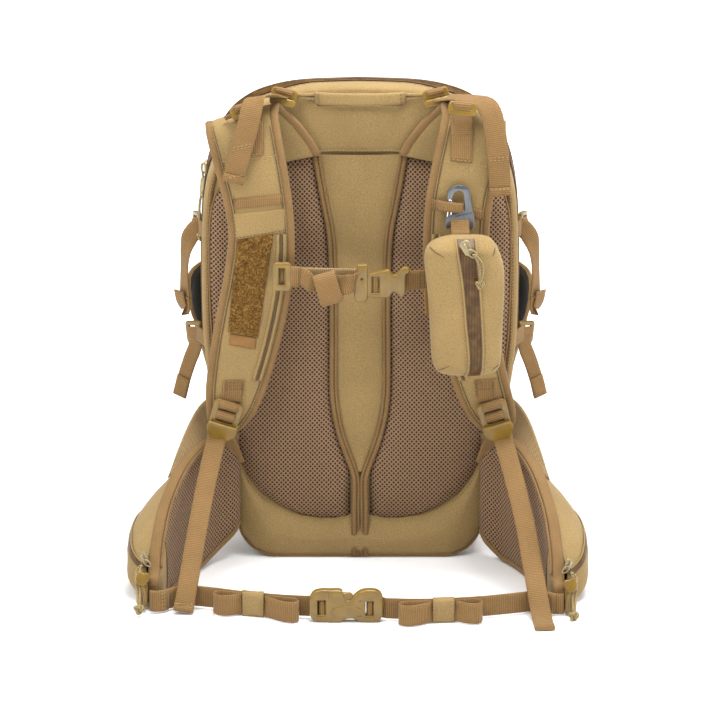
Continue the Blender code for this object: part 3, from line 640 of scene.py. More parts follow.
def build_bag():
    rows = []
    for y in (ZIP_Y + 0.0008, -0.066, -0.060, -0.045, -0.025, -0.005, 0.015, 0.035, 0.055, 0.070, 0.084,
              0.092,
              0.098, 0.103, 0.107, FRONT_Y):
        near_zip = min(1.0, (y - ZIP_Y) / 0.03)
        rows.append([p + outward(p) * sagging(p, 0.0018 * near_zip) for p in front_hoop(y)])
    for shrink in (0.96, 0.85, 0.6, 0.3, 0.02):
        rows.append([Vector((p.x * shrink, FRONT_Y + 0.001 + 0.0015 * (1 - shrink),
                             FOOT_Z + (p.z - FOOT_Z) * shrink))
                     for p in front_hoop(FRONT_Y)])
    verts, faces, uvs = grid(rows)
    lined(piece("bag_front_shell", verts, faces, CANVAS, "bag_front", uvs, replaces=("front_shell",)),
          0.0045)

    rows = [slanted(hoop(y, inset=inset), slant)
            for y, inset, slant in ((BACK_Y - 0.0005, 0.0075, 0.0050), (BACK_Y + 0.001, 0.0035, 0.0060),
                                    (BACK_Y + 0.005, 0.0008, 0.0065), (-0.100, 0.0, 0.0065),
                                    (-0.090, 0.0, 0.0060),
                                    (-0.0820, 0.0, 0.0045), (ZIP_Y - 0.0012, 0.0, 0.0))]
    verts, faces, uvs = grid(rows)
    lined(piece("rear_gusset_shell", verts, faces, CANVAS, "root", uvs, replaces=("rear_gusset",)), 0.0040)

    band = slanted(hoop(BACK_Y - 0.0012, inset=0.0080), 0.0050)
    tube("back_seam_binding", band, 0.0030, BINDING, "root", 8, 0.6, Vector((0, -1, 0)))
    stitch_line("back_seam_stitches", [(slanted(hoop(BACK_Y - 0.0032, inset=0.0075), 0.0050), (0, -1, 0))],
                "root")
    # zip tapes: one on each edge of the opening, and the closed coil between them
    near, far = slanted(hoop(ZIP_Y - 0.0120, inset=-0.0012), 0.0042), hoop(ZIP_Y - 0.0012, inset=-0.0012)
    web("main_zip_tape", [a.lerp(b, 0.5) for a, b in zip(near, far)], [b - a for a, b in zip(near, far)],
        0.0112,
        "root", ZIP, 0.0016)
    near, far = front_hoop(ZIP_Y + 0.0012, inset=-0.0010), front_hoop(ZIP_Y + 0.0100, inset=-0.0010)
    web("main_zip_tape_front", [a.lerp(b, 0.5) for a, b in zip(near, far)],
        [b - a for a, b in zip(near, far)], 0.0085,
        "bag_front", ZIP, 0.0016)
    for shift, body in ((-0.0009, "root"), (0.0012, "bag_front")):
        tube(f"main_zip_lip_{body}", resample(hoop(ZIP_Y + shift, inset=-0.0016), 0.006), 0.0010, ZIP, body,
             6)
    # small zip of the far pocket, which shows over the crown
    crown = [p + Vector((0, 0, 0.0034 * ease(abs(p.x), 0.045, 0.070))) for p in front_hoop(0.024,
            -0.0010) if abs(p.x) < 0.105]
    web("crown_zip", crown, Vector((0, 1, -0.20)), 0.014, "bag_front", ZIP, 0.0030)
    for shift in (-0.010, 0.010):
        seam = [p for p in front_hoop(0.024 + shift, inset=-0.0008) if abs(p.x) < 0.110]
        tube(f"crown_piping_{'far' if shift > 0 else 'near'}", seam, 0.0014, BINDING, "bag_front", 6)
    stitch_line("gusset_stitches", [(slanted(hoop(-0.0860, inset=-0.0006), 0.0052), (0, 0, 1))], "root")

    back = [p for p in hoop(BACK_Y, inset=0.0070)]
    half = len(back) // 2
    rows = []
    for index in range(half + 1):
        left, right = back[index], back[len(back) - 1 - index]
        rows.append([Vector((lerp(left.x, right.x, k / 12), BACK_Y - 0.0022 * (1 - abs(2 * k / 12 - 1) ** 6),
                             left.z))
                     for k in range(13)])
    verts, faces, uvs = grid(rows)
    made = piece("back_face", verts, faces, CANVAS, "root", uvs, replaces=("back_panel",))
    lined(made, 0.0085)

    base = bmesh.new()
    bmesh.ops.create_cube(base, size=1.0)
    bmesh.ops.scale(base, vec=(0.240, 0.214, 0.0085), verts=base.verts)
    bmesh.ops.translate(base, vec=(0, -0.005, 0.00445), verts=base.verts)
    bmesh.ops.bevel(base, geom=list(base.edges), offset=0.0035, segments=3, affect="EDGES", profile=0.5)
    base.verts.index_update()
    piece("base_panel", [v.co.copy() for v in base.verts], [[v.index for v in f.verts] for f in base.faces],
          CANVAS,
          "root", replaces=("bottom_panel",))
    base.free()


# ---------------------------------------------------------------- back padding
CHANNEL = [(0.1050, 0.0020), (0.1080, 0.0035), (0.1550, 0.0195), (0.2000, 0.0268), (0.2600, 0.0272),
           (0.3200, 0.0272), (0.3930, 0.0294), (0.4400, 0.0375),
           (0.4960, 0.0470)]      # (height, half width)
PAD_OUTER = [(0.0470, 0.0500), (0.0520, 0.0740), (0.0775, 0.1180), (0.1220, 0.1460), (0.1700, 0.1580),
             (0.2400, 0.1722), (0.3100, 0.1772), (0.4000, 0.1772), (0.4450, 0.1700), (0.4680, 0.1500),
             (0.4800, 0.1150), (0.4900, 0.0580)]


def spread(points, at):
    """Smooth value at a place, from (place, value) pairs."""
    return table([(p.x, p.y) for p in smooth([(a, b, 0) for a, b in points], 5)], at)


def channel_half(z):
    return spread(CHANNEL, max(z, 0.105))


def puff(distance, softness):
    return 1.0 - math.exp(-max(distance, 0.0) / softness)


def build_back_padding():
    for side, sign in SIDES:
        rows, uvs = [], []
        for k in range(75):
            z = lerp(0.0470, 0.4900, k / 74)
            near = channel_half(z) + 0.0095 if z > 0.112 else 0.0125
            far = spread(PAD_OUTER, z)
            row = []
            for c in range(31):
                s = c / 30
                x = lerp(near, max(far, near + 0.004), s)
                edge = min(x - near, (far - x) * 0.9, (z - 0.0470) * 0.8 + 0.0008, (0.4900 - z) * 0.8)
                y = -0.1170 - 0.0112 * puff(edge, 0.009) + wrinkle((x, z, sign), 0.05, 0.0009)
                row.append(Vector((sign * x, y, z)))
                uvs.append((x, z))
            rows.append(row)
        verts, faces, _ = grid(rows)
        made = piece(f"back_mesh_{side}", verts, faces, MESH, "root", uvs, replaces=(f"mesh_pad_{side}",))
        edge = [Vector((sign * spread(PAD_OUTER, z), -0.1178, z)) for z in (lerp(0.13, 0.470,
                k / 40) for k in range(41))]
        tube(f"mesh_edge_{side}", edge, 0.0012, BINDING, "root", 6)

    rows = []
    for k in range(61):
        z = lerp(0.1060, 0.4950, k / 60)
        half = channel_half(z) + 0.001
        rows.append([Vector((half * t, -0.1178 - 0.0038 * (1 - t * t) + wrinkle((half * t, z, 3), 0.04,
                0.0006), z))
                     for t in (c / 8 - 1 for c in range(17))])
    verts, faces, uvs = grid(rows)
    piece("air_channel", verts, faces, CANVAS, "root", uvs, replaces=("centre_channel",))

    def strand(sign, off, merged, deep):
        path = [Vector((sign * merged, -0.1302, 0.0030)), Vector((sign * merged, -0.1305, 0.0300)),
                Vector((sign * merged, -0.1275, 0.0700)), Vector((sign * merged, -0.1215, 0.0980))]
        for k in range(32):
            z = lerp(0.120, 0.4945, k / 31)
            path.append(Vector((sign * max(channel_half(z) + off, merged), deep, z)))
        return smooth(path, 2)

    lines = []
    for side, sign in SIDES:
        tube(f"channel_piping_{side}", strand(sign, 0.0016, 0.0022, -0.1203), 0.0018, BINDING, "root", 8)
        band = strand(sign, 0.0062, 0.0070, -0.1195)
        tube(f"channel_band_{side}", band, 0.0032, BINDING, "root", 8, 0.85, Vector((0, -1, 0)))
        lines.append(([p + Vector((sign * -0.0030, -0.0022, 0)) for p in band], (0, -1, 0)))
        lines.append(([p + Vector((sign * 0.0028, -0.0018, 0)) for p in band], (0, -1, 0)))
    # dark stitches on each side of the band, which also paint the shade line between band and canvas
    stitch_line("channel_stitches", lines, "root", SHADE)


ARC = [(0.0, 0.0530), (0.0125, 0.0510), (0.0300, 0.0470), (0.0500, 0.0470), (0.0740, 0.0520),
       (0.0980, 0.0640),
       (0.1180, 0.0775), (0.1350, 0.1000), (0.1460, 0.1220), (0.1500, 0.1320)]
HEM = [(0.0, 0.0022), (0.0900, 0.0022), (0.1080, 0.0030), (0.1280, 0.0100), (0.1420, 0.0260),
       (0.1480, 0.0500),
       (0.1500, 0.0850)]


def lumbar_low(x, z):
    """How far the pad's lower half stands forward."""
    return 0.0095 * (1 - ease(z, 0.002, 0.075)) * ease(0.150 - abs(x), 0.0, 0.045)


def build_lumbar():
    rows = []
    for c in range(81):
        x = lerp(-0.1495, 0.1495, c / 80)
        top, foot = table(ARC, abs(x)), table(HEM, abs(x))
        row = []
        for k in range(25):
            z = lerp(foot, top, k / 24)
            edge = min(z - foot + 0.001, (top - z) * 0.9, (0.1500 - abs(x)) * 0.9)
            y = -0.1165 - 0.0110 * puff(edge, 0.011)
            y += wrinkle((x * 1.0, z * 2.2, 7), 0.045, 0.0012) * puff(edge, 0.02) - lumbar_low(x, z)
            row.append(Vector((x, y, z)))
        rows.append(row)
    verts, faces, uvs = grid(rows)
    made = piece("lumbar_fabric", verts, faces, CANVAS, "root", uvs, replaces=("lumbar_pad",))
    seam = smooth([(x, -0.1172, z) for x, z in [(-a, b) for a, b in ARC[::-1]] + ARC[1:]], 2)
    tube("lumbar_seam", seam, 0.0010, BINDING, "root", 6)
    # dark stitches just below the seam, which also paint the shade under it
    below = [p + Vector((0, -0.0035, -0.0055)) for p in seam]
    stitch_line("lumbar_stitches", [(below, (0, -1, 0))], "root", SHADE)
    hem = smooth([(x, -0.1180 - lumbar_low(x, z), z) for x, z in [(-a, b) for a, b in HEM[::-1]] + HEM[1:]],
                 3)
    tube("lumbar_hem", hem, 0.0018, BINDING, "root", 6)


YOKE_FOOT = [(0.0, 0.4965), (0.0480, 0.4960), (0.1070, 0.4850), (0.1540, 0.4700), (0.1700, 0.4680)]
YOKE_HEAD = [(0.0, 0.5685), (0.0600, 0.5650), (0.1000, 0.5560), (0.1300, 0.5425), (0.1480, 0.5280),
             (0.1600, 0.5060), (0.1700, 0.4700)]


def build_yoke():
    rows = []
    for c in range(61):
        x = lerp(-0.1680, 0.1680, c / 60)
        foot, head = spread(YOKE_FOOT, abs(x)), spread(YOKE_HEAD, abs(x))
        rows.append([Vector((x, -0.1160 - 0.0048 * puff(min(z - foot, (head - z) * 0.8), 0.010)
                             - wrinkle((x * 0.6, z * 2.5, 11), 0.050, 0.0016), z))
                     for z in (lerp(foot, head, k / 16) for k in range(17))])
    verts, faces, uvs = grid(rows)
    piece("yoke_fabric", verts, faces, CANVAS, "root", uvs, replaces=("yoke_panel",))
    seam = [Vector((x, -0.1180, spread(YOKE_FOOT, abs(x)) - 0.0006)) for x in (lerp(-0.165, 0.165,
            k / 40) for k in range(41))]
    # painted shade: a dark line laid along the seam at the yoke's foot
    tube("yoke_seam", seam, 0.0008, SHADE, "root", 6)
    stitch_line("yoke_stitches", [([p + Vector((0, -0.0030, 0.0042)) for p in seam], (0, -1, 0))], "root")

    path = smooth([(-0.0520, -0.1215, 0.5630), (-0.0440, -0.1262, 0.5628), (-0.0240, -0.1284, 0.5625),
                   (0.0, -0.1290, 0.5622),
                   (0.0240, -0.1284, 0.5625), (0.0440, -0.1262, 0.5628), (0.0520, -0.1215, 0.5630)], 4)
    web("handle_strip", path, Vector((0, 0, 1)), 0.0150, "handle", CANVAS, 0.0034, replaces=("grab_handle",))
    ends = []
    for sign in (-1, 1):
        ends.append(([(sign * 0.0478, -0.1268, z) for z in (0.5562, 0.5605, 0.5648, 0.5695)], (0, -1, 0)))
        # the thin middle fold is painted shade, a dark line between the two light folds
        folds = ((0.0022, 0.5670, 0.5665, CANVAS), (0.0011, 0.5640, 0.5650, SHADE),
                 (0.0018, 0.5614, 0.5634, CANVAS))
        for index, (radius, near, far, mat) in enumerate(folds):
            fold = smooth([(sign * 0.0500, -0.1205, near), (sign * 0.0620, -0.1222, lerp(near, far, 0.6)),
                           (sign * 0.0740, -0.1222, far), (sign * 0.0860, -0.1200, far - 0.0010)], 4)
            tube(f"handle_fold_{index}_{'left' if sign < 0 else 'right'}", fold, radius, mat, "root", 8)
    stitch_line("handle_stitches", ends, "handle", SHADE)
    # painted shade: a dark line under the handle's lower edge
    hollow = [Vector((x, -0.1216, 0.5545)) for x in (-0.0500, -0.0250, 0.0, 0.0250, 0.0500)]
    tube("handle_foot_seam", smooth(hollow, 3), 0.0010, SHADE, "root", 6)


build_stage()
build_bag()
build_back_padding()
build_lumbar()
build_yoke()


# ---------------------------------------------------------------- shoulder straps
# edges of each strap from its seam on the yoke, up over the fold and down to its foot: (x, y, z)
BACK_INNER = [(0.0480, -0.1260, 0.4965), (0.0560, -0.1290, 0.5120), (0.0715, -0.1340, 0.5340),
              (0.0880, -0.1400, 0.5520),
              (0.0960, -0.1490, 0.5600)]
BACK_OUTER = {"left": [(0.1320, -0.1250, 0.4800), (0.1430, -0.1280, 0.4980), (0.1570, -0.1330, 0.5150),
                       (0.1700, -0.1390, 0.5290),
                       (0.1765, -0.1480, 0.5370)],
              "right": [(0.1300, -0.1250, 0.4800), (0.1400, -0.1280, 0.4980), (0.1520, -0.1330, 0.5170),
                        (0.1610, -0.1390, 0.5320),
                        (0.1660, -0.1480, 0.5390)]}
STRAP_DEPTH = [(0.160, -0.1530), (0.1880, -0.1550), (0.2180, -0.1570), (0.2620, -0.1600), (0.3100, -0.1630),
               (0.3500, -0.1660), (0.3900, -0.1690), (0.4300, -0.1712), (0.4800, -0.1715), (0.5250, -0.1680),
               (0.5450, -0.1610), (0.5560, -0.1550)]
INNER = {"left": [(0.1665, 0.1480), (0.1730, 0.1390), (0.1890, 0.1265), (0.2200, 0.1130), (0.2665, 0.0990),
                  (0.3130, 0.0880),
                  (0.3600, 0.0806), (0.4100, 0.0785), (0.4500, 0.0812), (0.4900, 0.0868), (0.5280, 0.0935),
                  (0.5560, 0.0985)],
         "right": [(0.1665, 0.1500), (0.1780, 0.1370), (0.2000, 0.1220), (0.2375, 0.1080), (0.2800, 0.0945),
                   (0.3200, 0.0835),
                   (0.3620, 0.0765), (0.4070, 0.0760), (0.4500, 0.0785), (0.4900, 0.0850), (0.5280, 0.0930),
                   (0.5560, 0.0985)]}
OUTER = {"left": [(0.1665, 0.1690), (0.1740, 0.1760), (0.1890, 0.1790), (0.2200, 0.1795), (0.2665, 0.1740),
                  (0.3130, 0.1660),
                  (0.3600, 0.1565), (0.4100, 0.1505), (0.4500, 0.1555), (0.4850, 0.1640), (0.5100, 0.1705),
                  (0.5360, 0.1768)],
         "right": [(0.1665, 0.1740), (0.1760, 0.1810), (0.1900, 0.1820), (0.2120, 0.1775), (0.2400, 0.1705),
                   (0.3130, 0.1560),
                   (0.3600, 0.1495), (0.4100, 0.1475), (0.4500, 0.1510), (0.4850, 0.1585), (0.5100, 0.1635),
                   (0.5360, 0.1665)]}


def strap_face(side, z, t, lift=0.0):
    """Point on the strap's front: t runs from its inner edge, 0, to its outer edge, 1."""
    sign = -1 if side == "left" else 1
    x = lerp(spread(INNER[side], z), spread(OUTER[side], z), t)
    bulge = 0.0070 - 0.0045 * abs(2 * t - 1) ** 5
    return Vector((sign * x, spread(STRAP_DEPTH, z) - bulge - lift, z))


def strap_at(side, x, z, lift=0.0):
    """Point on the strap's front at a distance from the middle of the pack."""
    inner, outer = spread(INNER[side], z), spread(OUTER[side], z)
    return strap_face(side, z, (x - inner) / (outer - inner), lift)


def strap_edges(side, steps=4):
    inner_back, outer_back = smooth(BACK_INNER, steps), smooth(BACK_OUTER[side], steps)
    count = 54
    inner, outer = list(inner_back), list(outer_back)
    for k in range(1, count + 1):
        s = k / count
        for edge, widths, top in ((inner, INNER[side], 0.5580), (outer, OUTER[side], 0.5360)):
            z = lerp(top, 0.1665, s)
            y = spread(STRAP_DEPTH, min(z + 0.0150 * max(0.0, 1 - s * 6) * (top < 0.55), 0.556))
            edge.append(Vector((spread(widths, z), y, z)))
    return inner, outer


def blended(made):
    """Bake the piece's placement into its mesh; it rides on no body."""
    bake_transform(made)
    return made


def build_strap(side, sign):
    inner, outer = strap_edges(side)
    path = [(a + b) / 2 for a, b in zip(inner, outer)]
    rows, rims = [], {"inner": [], "outer": []}
    for index, (a, b) in enumerate(zip(inner, outer)):
        run = (path[min(index + 1, len(path) - 1)] - path[max(index - 1, 0)]).normalized()
        out = run.cross(b - a).normalized()
        if index > len(path) - 30:
            out = Vector((0, -1, 0))
        thick = table([(0, 0.0040), (14, 0.0045), (17, 0.0045), (24, 0.0066), (80, 0.0066)], index)
        front, back = [], []
        for k in range(13):
            t = k / 12
            crown = 1 - 0.65 * abs(2 * t - 1) ** 5
            front.append(a.lerp(b, t) + out * thick * crown)
            if 0 < k < 12:
                back.append(a.lerp(b, t) - out * thick * (1 - 0.55 * abs(2 * t - 1) ** 5))
        ring = front + back[::-1]
        rows.append([Vector((sign * p.x, p.y, p.z)) for p in ring])
        across = (b - a).normalized()
        for edge_name, centre in (("inner", a + across * 0.0024), ("outer", b - across * 0.0024)):
            rim = []
            for k in range(16):
                c, s = math.cos(2 * math.pi * k / 16), math.sin(2 * math.pi * k / 16)
                rim.append(centre + across * (0.0052 * math.copysign(abs(c) ** 0.8, c))
                           + out * ((thick * 0.62 + 0.0016) * math.copysign(abs(s) ** 0.6, s)))
            rims[edge_name].append([Vector((sign * p.x, p.y, p.z)) for p in rim])
    tip = rows[-1]
    middle = sum(tip, Vector()) / len(tip)
    for shrink, drop in ((0.72, 0.0035), (0.30, 0.0050)):
        rows.append([middle + (p - middle) * shrink + Vector((0, 0, -drop)) for p in tip])
    verts, faces, uvs = grid(rows, wrap=True, caps=True)
    made = piece(f"strap_padding_{side}", verts, faces, CANVAS, None, uvs,
                 replaces=(f"shoulder_strap_{side}", f"yoke_strap_{side}"))
    blended(made)
    # rolled binding round the whole edge, with its dark stitch line and a painted shade line in the crease beside it
    for edge_name, move in (("inner", 1), ("outer", -1)):
        rim = rims[edge_name]
        foot = rim[-1]
        for dx, dz in ((0.003, 0.0030), (0.009, 0.0050)):
            rim.append([p + Vector((sign * move * dx, 0, -dz)) for p in foot])
        verts, faces, uvs = grid(rim, wrap=True, caps=True)
        blended(piece(f"strap_binding_{edge_name}_{side}", verts, faces, BINDING, None, uvs))
        face, crease_shade = [], []
        for k in range(70):
            z = lerp(0.5400, 0.1750, k / 69)
            width = spread(OUTER[side], z) - spread(INNER[side], z)
            for line, inset, lift in ((face, 0.0058, 0.0016), (crease_shade, 0.0082, 0.0002)):
                share = inset / width
                line.append(strap_face(side, z, share if edge_name == "inner" else 1 - share, lift))
        stitch_line(f"strap_binding_stitches_{edge_name}_{side}", [(face, (0, -1, 0))], f"strap_{side}",
                    SHADE, 0.0026, 0.0016)
        # painted shade: a thin dark line in the crease between binding and strap face
        tube(f"strap_crease_{edge_name}_{side}", crease_shade, 0.0006, SHADE, f"strap_{side}", 6)


def cover(name, side, corners, mat, lift, body, count=(14, 10), rim=0.0008):
    """A layer sewn on a strap's front; corners are top inner, top outer, foot inner, foot outer as (x, z)."""
    ti, to, fi, fo = [Vector((x, z)) for x, z in corners]
    rows, uvs = [], []
    nu, nv = count
    cuts_v = [0.0, 0.01] + [k / nv for k in range(1, nv)] + [0.99, 1.0]
    cuts_u = [0.0, 0.015] + [k / nu for k in range(1, nu)] + [0.985, 1.0]
    for v in cuts_v:
        row = []
        for u in cuts_u:
            spot = ti.lerp(to, u).lerp(fi.lerp(fo, u), v)
            edge = u in (0.0, 1.0) or v in (0.0, 1.0)
            point = strap_at(side, spot.x, spot.y, -0.0004 if edge else lift)
            row.append(point)
            uvs.append((spot.x, spot.y))
        rows.append(row)
    verts, faces, _ = grid(rows)
    return piece(name, verts, faces, mat, body, [(v, u) for u, v in uvs])


def seam_on(side, ends, lift=0.0012, count=14):
    """Line across a strap's front between two (x, z) places."""
    (xa, za), (xb, zb) = ends
    return [strap_at(side, lerp(xa, xb, k / count), lerp(za, zb, k / count), lift) for k in range(count + 1)]


def ladder_loops(width, height, rim, bars=(0.0,), bar=0.0042, taper=0.0, corner=None):
    """Outline and holes of a ladder buckle whose cross bars sit at given heights."""
    corner = corner or rim
    outline = [(x * (1 - taper * (0.5 - y / height)), y) for x, y in rounded(width, height, corner, 4)]
    loops, low = [outline], -height / 2 + rim
    for level in [*bars, None]:
        high = height / 2 - rim if level is None else level - bar / 2
        middle, tall = (low + high) / 2, high - low
        hole = rounded(width - 2 * rim, tall, min(0.0012, tall * 0.35), 2, (0.0, middle))
        loops.append([(x * (1 - taper * (0.5 - y / height)), y) for x, y in hole])
        low = (level or 0) + bar / 2
    return loops


def build_strap_details(side, sign):
    body = f"strap_{side}"
    lines = []
    if side == "left":
        band = ((0.0895, 0.4610), (0.1465, 0.4550), (0.0885, 0.4490), (0.1475, 0.4430))
        cover("attachment_band_left", side, band, WEBBING, 0.0014, body, (16, 3))
        for x in (0.0905, 0.1460):
            lines.append(([strap_at(side, x, z, 0.0022) for z in (0.4450, 0.4490, 0.4530, 0.4570, 0.4610)],
                          (0, -1, 0)))
        cover("strap_panel_left", side, ((0.0870, 0.4440), (0.1475, 0.4380), (0.0865, 0.4165),
                                         (0.1450, 0.4060)),
              CANVAS, 0.0010, body)
        lines.append((seam_on(side, ((0.0870, 0.4185), (0.1445, 0.4085)), 0.0014), (0, -1, 0)))
        cover("loop_patch", side, ((0.1000, 0.4150), (0.1430, 0.4070), (0.1195, 0.2860), (0.1550, 0.2930)),
              PILE,
              0.0022, body, (30, 60))
        cover("blank_label", side, ((0.1215, 0.2860), (0.1525, 0.2910), (0.1225, 0.2725), (0.1535, 0.2775)),
              LEATHER,
              0.0014, body, (8, 5))
        stub = ((0.1360, 0.2330), (0.1615, 0.2330), (0.1400, 0.2050), (0.1650, 0.2050))
        cross = (((0.0960, 0.5065), (0.1180, 0.5035)), ((0.1180, 0.5035), (0.1600, 0.4990)))
        lifter = ((0.1115, 0.5480), (0.1345, 0.5430), (0.1115, 0.5080), (0.1340, 0.5050))
    else:
        band = ((0.0830, 0.4560), (0.1440, 0.4420), (0.0830, 0.4440), (0.1440, 0.4290))
        cover("attachment_band_right", side, band, WEBBING, 0.0018, body, (16, 3))
        for x in (0.0850, 0.1420):
            lines.append(([strap_at(side, x, z, 0.0026) for z in
                           (lerp(0.4300, 0.4420, k / 4) if x > 0.1 else lerp(0.4440, 0.4560,
                                   k / 4) for k in range(5))],
                          (0, -1, 0)))
        stub = ((0.1345, 0.2330), (0.1605, 0.2350), (0.1400, 0.2050), (0.1650, 0.2050))
        cross = (((0.0960, 0.5000), (0.1560, 0.4930)),)
        cover("strap_tag", side, ((0.0785, 0.3400), (0.0840, 0.3400), (0.0830, 0.3070), (0.0890, 0.3070)),
              LEATHER,
              0.0012, body, (4, 8))
        lifter = ((0.1045, 0.5500), (0.1290, 0.5450), (0.1050, 0.5010), (0.1290, 0.4985))
    cover(f"lifter_anchor_{side}", side, lifter, WEBBING, 0.0016, body, (8, 12))
    cover(f"strap_stub_{side}", side, stub, WEBBING, 0.0018, body, (8, 8))
    for x_step in (0.0025, 0.0225):
        lines.append(([strap_at(side, stub[0][0] + x_step, z, 0.0026) for z in (0.2310, 0.2250, 0.2190,
                0.2130)], (0, -1, 0)))
    for z in (0.2315, 0.2270, 0.2225):
        lines.append((seam_on(side, ((stub[0][0] + 0.002, z), (stub[1][0] - 0.002, z)), 0.0026, 6),
                      (0, -1, 0)))
    stitch_line(f"strap_stitches_{side}", lines, body, SHADE)
    pale = [(seam_on(side, ends, 0.0006), (0, -1, 0)) for ends in cross]
    pale.append((seam_on(side, ((lifter[2][0] + 0.001, lifter[2][1] + 0.0018),
                                (lifter[3][0] - 0.001, lifter[3][1] + 0.0018)),
                         0.0024, 6), (0, -1, 0)))
    stitch_line(f"strap_pale_stitches_{side}", pale, body)
    # rail channel for the sternum slider, along the inner edge: two canvas ridges with painted shade, a thin dark
    # line, in the groove between them
    for index, off in enumerate((0.0092, 0.0128, 0.0168)):
        rail = [strap_at(side, spread(INNER[side], z) + off, z,
                         0.0008) for z in (lerp(0.4130, 0.2330, k / 40) for k in range(41))]
        tube(f"sternum_rail_{index}_{side}", rail, (0.0018, 0.0011, 0.0018)[index],
             (CANVAS, SHADE, CANVAS)[index], body, 8, 0.8,
             Vector((0, -1, 0)))


def build_lock(side, sign):
    """Ladder lock at the strap's foot, its lip and its wrapped webbing."""
    body = f"strap_{side}"
    turn = sign * -0.30
    centre = Vector((sign * 0.1600, -0.1690, 0.1860))
    place = facing(centre, turn)
    loops = ladder_loops(0.0335, 0.0300, 0.0042, (-0.0010,), 0.0050, 0.10)
    plate(f"ladder_lock_frame_{side}", loops, 0.0062, 0.0016, PLASTIC, body,
          place @ Matrix.Translation((0, 0.0062, 0)),
          replaces=(f"ladder_lock_{side}",))
    lip = [(-0.0160, 0.0030), (-0.0165, -0.0040), (-0.0125, -0.0120), (-0.0060, -0.0165), (0.0060, -0.0165),
           (0.0125, -0.0120), (0.0165, -0.0040), (0.0160, 0.0030)]
    lip = [(p.x, p.y) for p in smooth([(x, y, 0) for x, y in lip], 3)]
    tilt = Matrix.Translation((0, -0.0080, 0.0088)) @ Matrix.Rotation(0.32, 4, "X")
    plate(f"ladder_lock_lip_{side}", [lip], 0.0040, 0.0014, PLASTIC, body, place @ tilt)

    def wrap(name, level, radius, mat_body):
        ring = []
        for k in range(15):
            angle = math.radians(-120 + 240 * k / 14)
            ring.append(place @ Vector((0, level + radius * math.sin(angle),
                                        radius * math.cos(angle) + 0.0004)))
        side_dir = (place.to_3x3() @ Vector((1, 0, 0))).normalized()
        web(name, ring, side_dir, 0.0225, mat_body)

    wrap(f"lock_wrap_top_{side}", 0.0175, 0.0046, body)
    wrap(f"lock_wrap_bar_{side}", 0.0044, 0.0050, body)


TAILS = {"left": [(-0.1640, -0.1650, 0.1900), (-0.1655, -0.1695, 0.1790), (-0.1690, -0.1715, 0.1660),
                  (-0.1735, -0.1900, 0.1500),
                  (-0.1820, -0.2310, 0.1160), (-0.1900, -0.2710, 0.0770), (-0.1960, -0.3000, 0.0440),
                  (-0.2005, -0.3190, 0.0200), (-0.2035, -0.3290, 0.0035)],
         "right": [(0.1650, -0.1650, 0.1900), (0.1660, -0.1695, 0.1780), (0.1690, -0.1720, 0.1640),
                   (0.1750, -0.1980, 0.1460),
                   (0.1840, -0.2340, 0.1180), (0.1925, -0.2680, 0.0860), (0.1985, -0.2970, 0.0540),
                   (0.2030, -0.3270, 0.0310), (0.2062, -0.3430, 0.0130), (0.2088, -0.3570, 0.0036),
                   (0.2100, -0.3840, 0.0028)]}


def build_tails():
    for side, sign in SIDES:
        body = f"strap_{side}"
        path = smooth(TAILS[side], 4)
        web(f"strap_tail_web_{side}", path, Vector((1, 0, 0)), 0.0232, body,
            replaces=(f"strap_tail_{side}",))
        end = path[-1]
        run = (path[-1] - path[-2]).normalized()
        up = Vector((0, 0, 1)) if side == "right" else Vector((0, -1, 0.3)).normalized()
        fold = [path[-3] + up * 0.0016, path[-2] + up * 0.0018, end + up * 0.0016]
        web(f"strap_tail_hem_{side}", fold, Vector((1, 0, 0)), 0.0234, body)
        cross = [end + Vector((x, 0, 0)) - run * 0.0095 + up * 0.0030 for x in (-0.0100, 0.0, 0.0100)]
        stitch_line(f"strap_tail_stitches_{side}", [(cross, up)], body)
        # anchor webbing from the pack's foot corner to the lock, behind the tail
        anchor = smooth([(sign * 0.1480, -0.1250, 0.1180), (sign * 0.1530, -0.1380, 0.1380),
                         (sign * 0.1580, -0.1520, 0.1560),
                         (sign * 0.1605, -0.1610, 0.1700), (sign * 0.1605, -0.1640, 0.1800)], 4)
        made = web(f"anchor_web_{side}", anchor, Vector((1, 0, 0)), 0.0200, None)
        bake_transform(made)


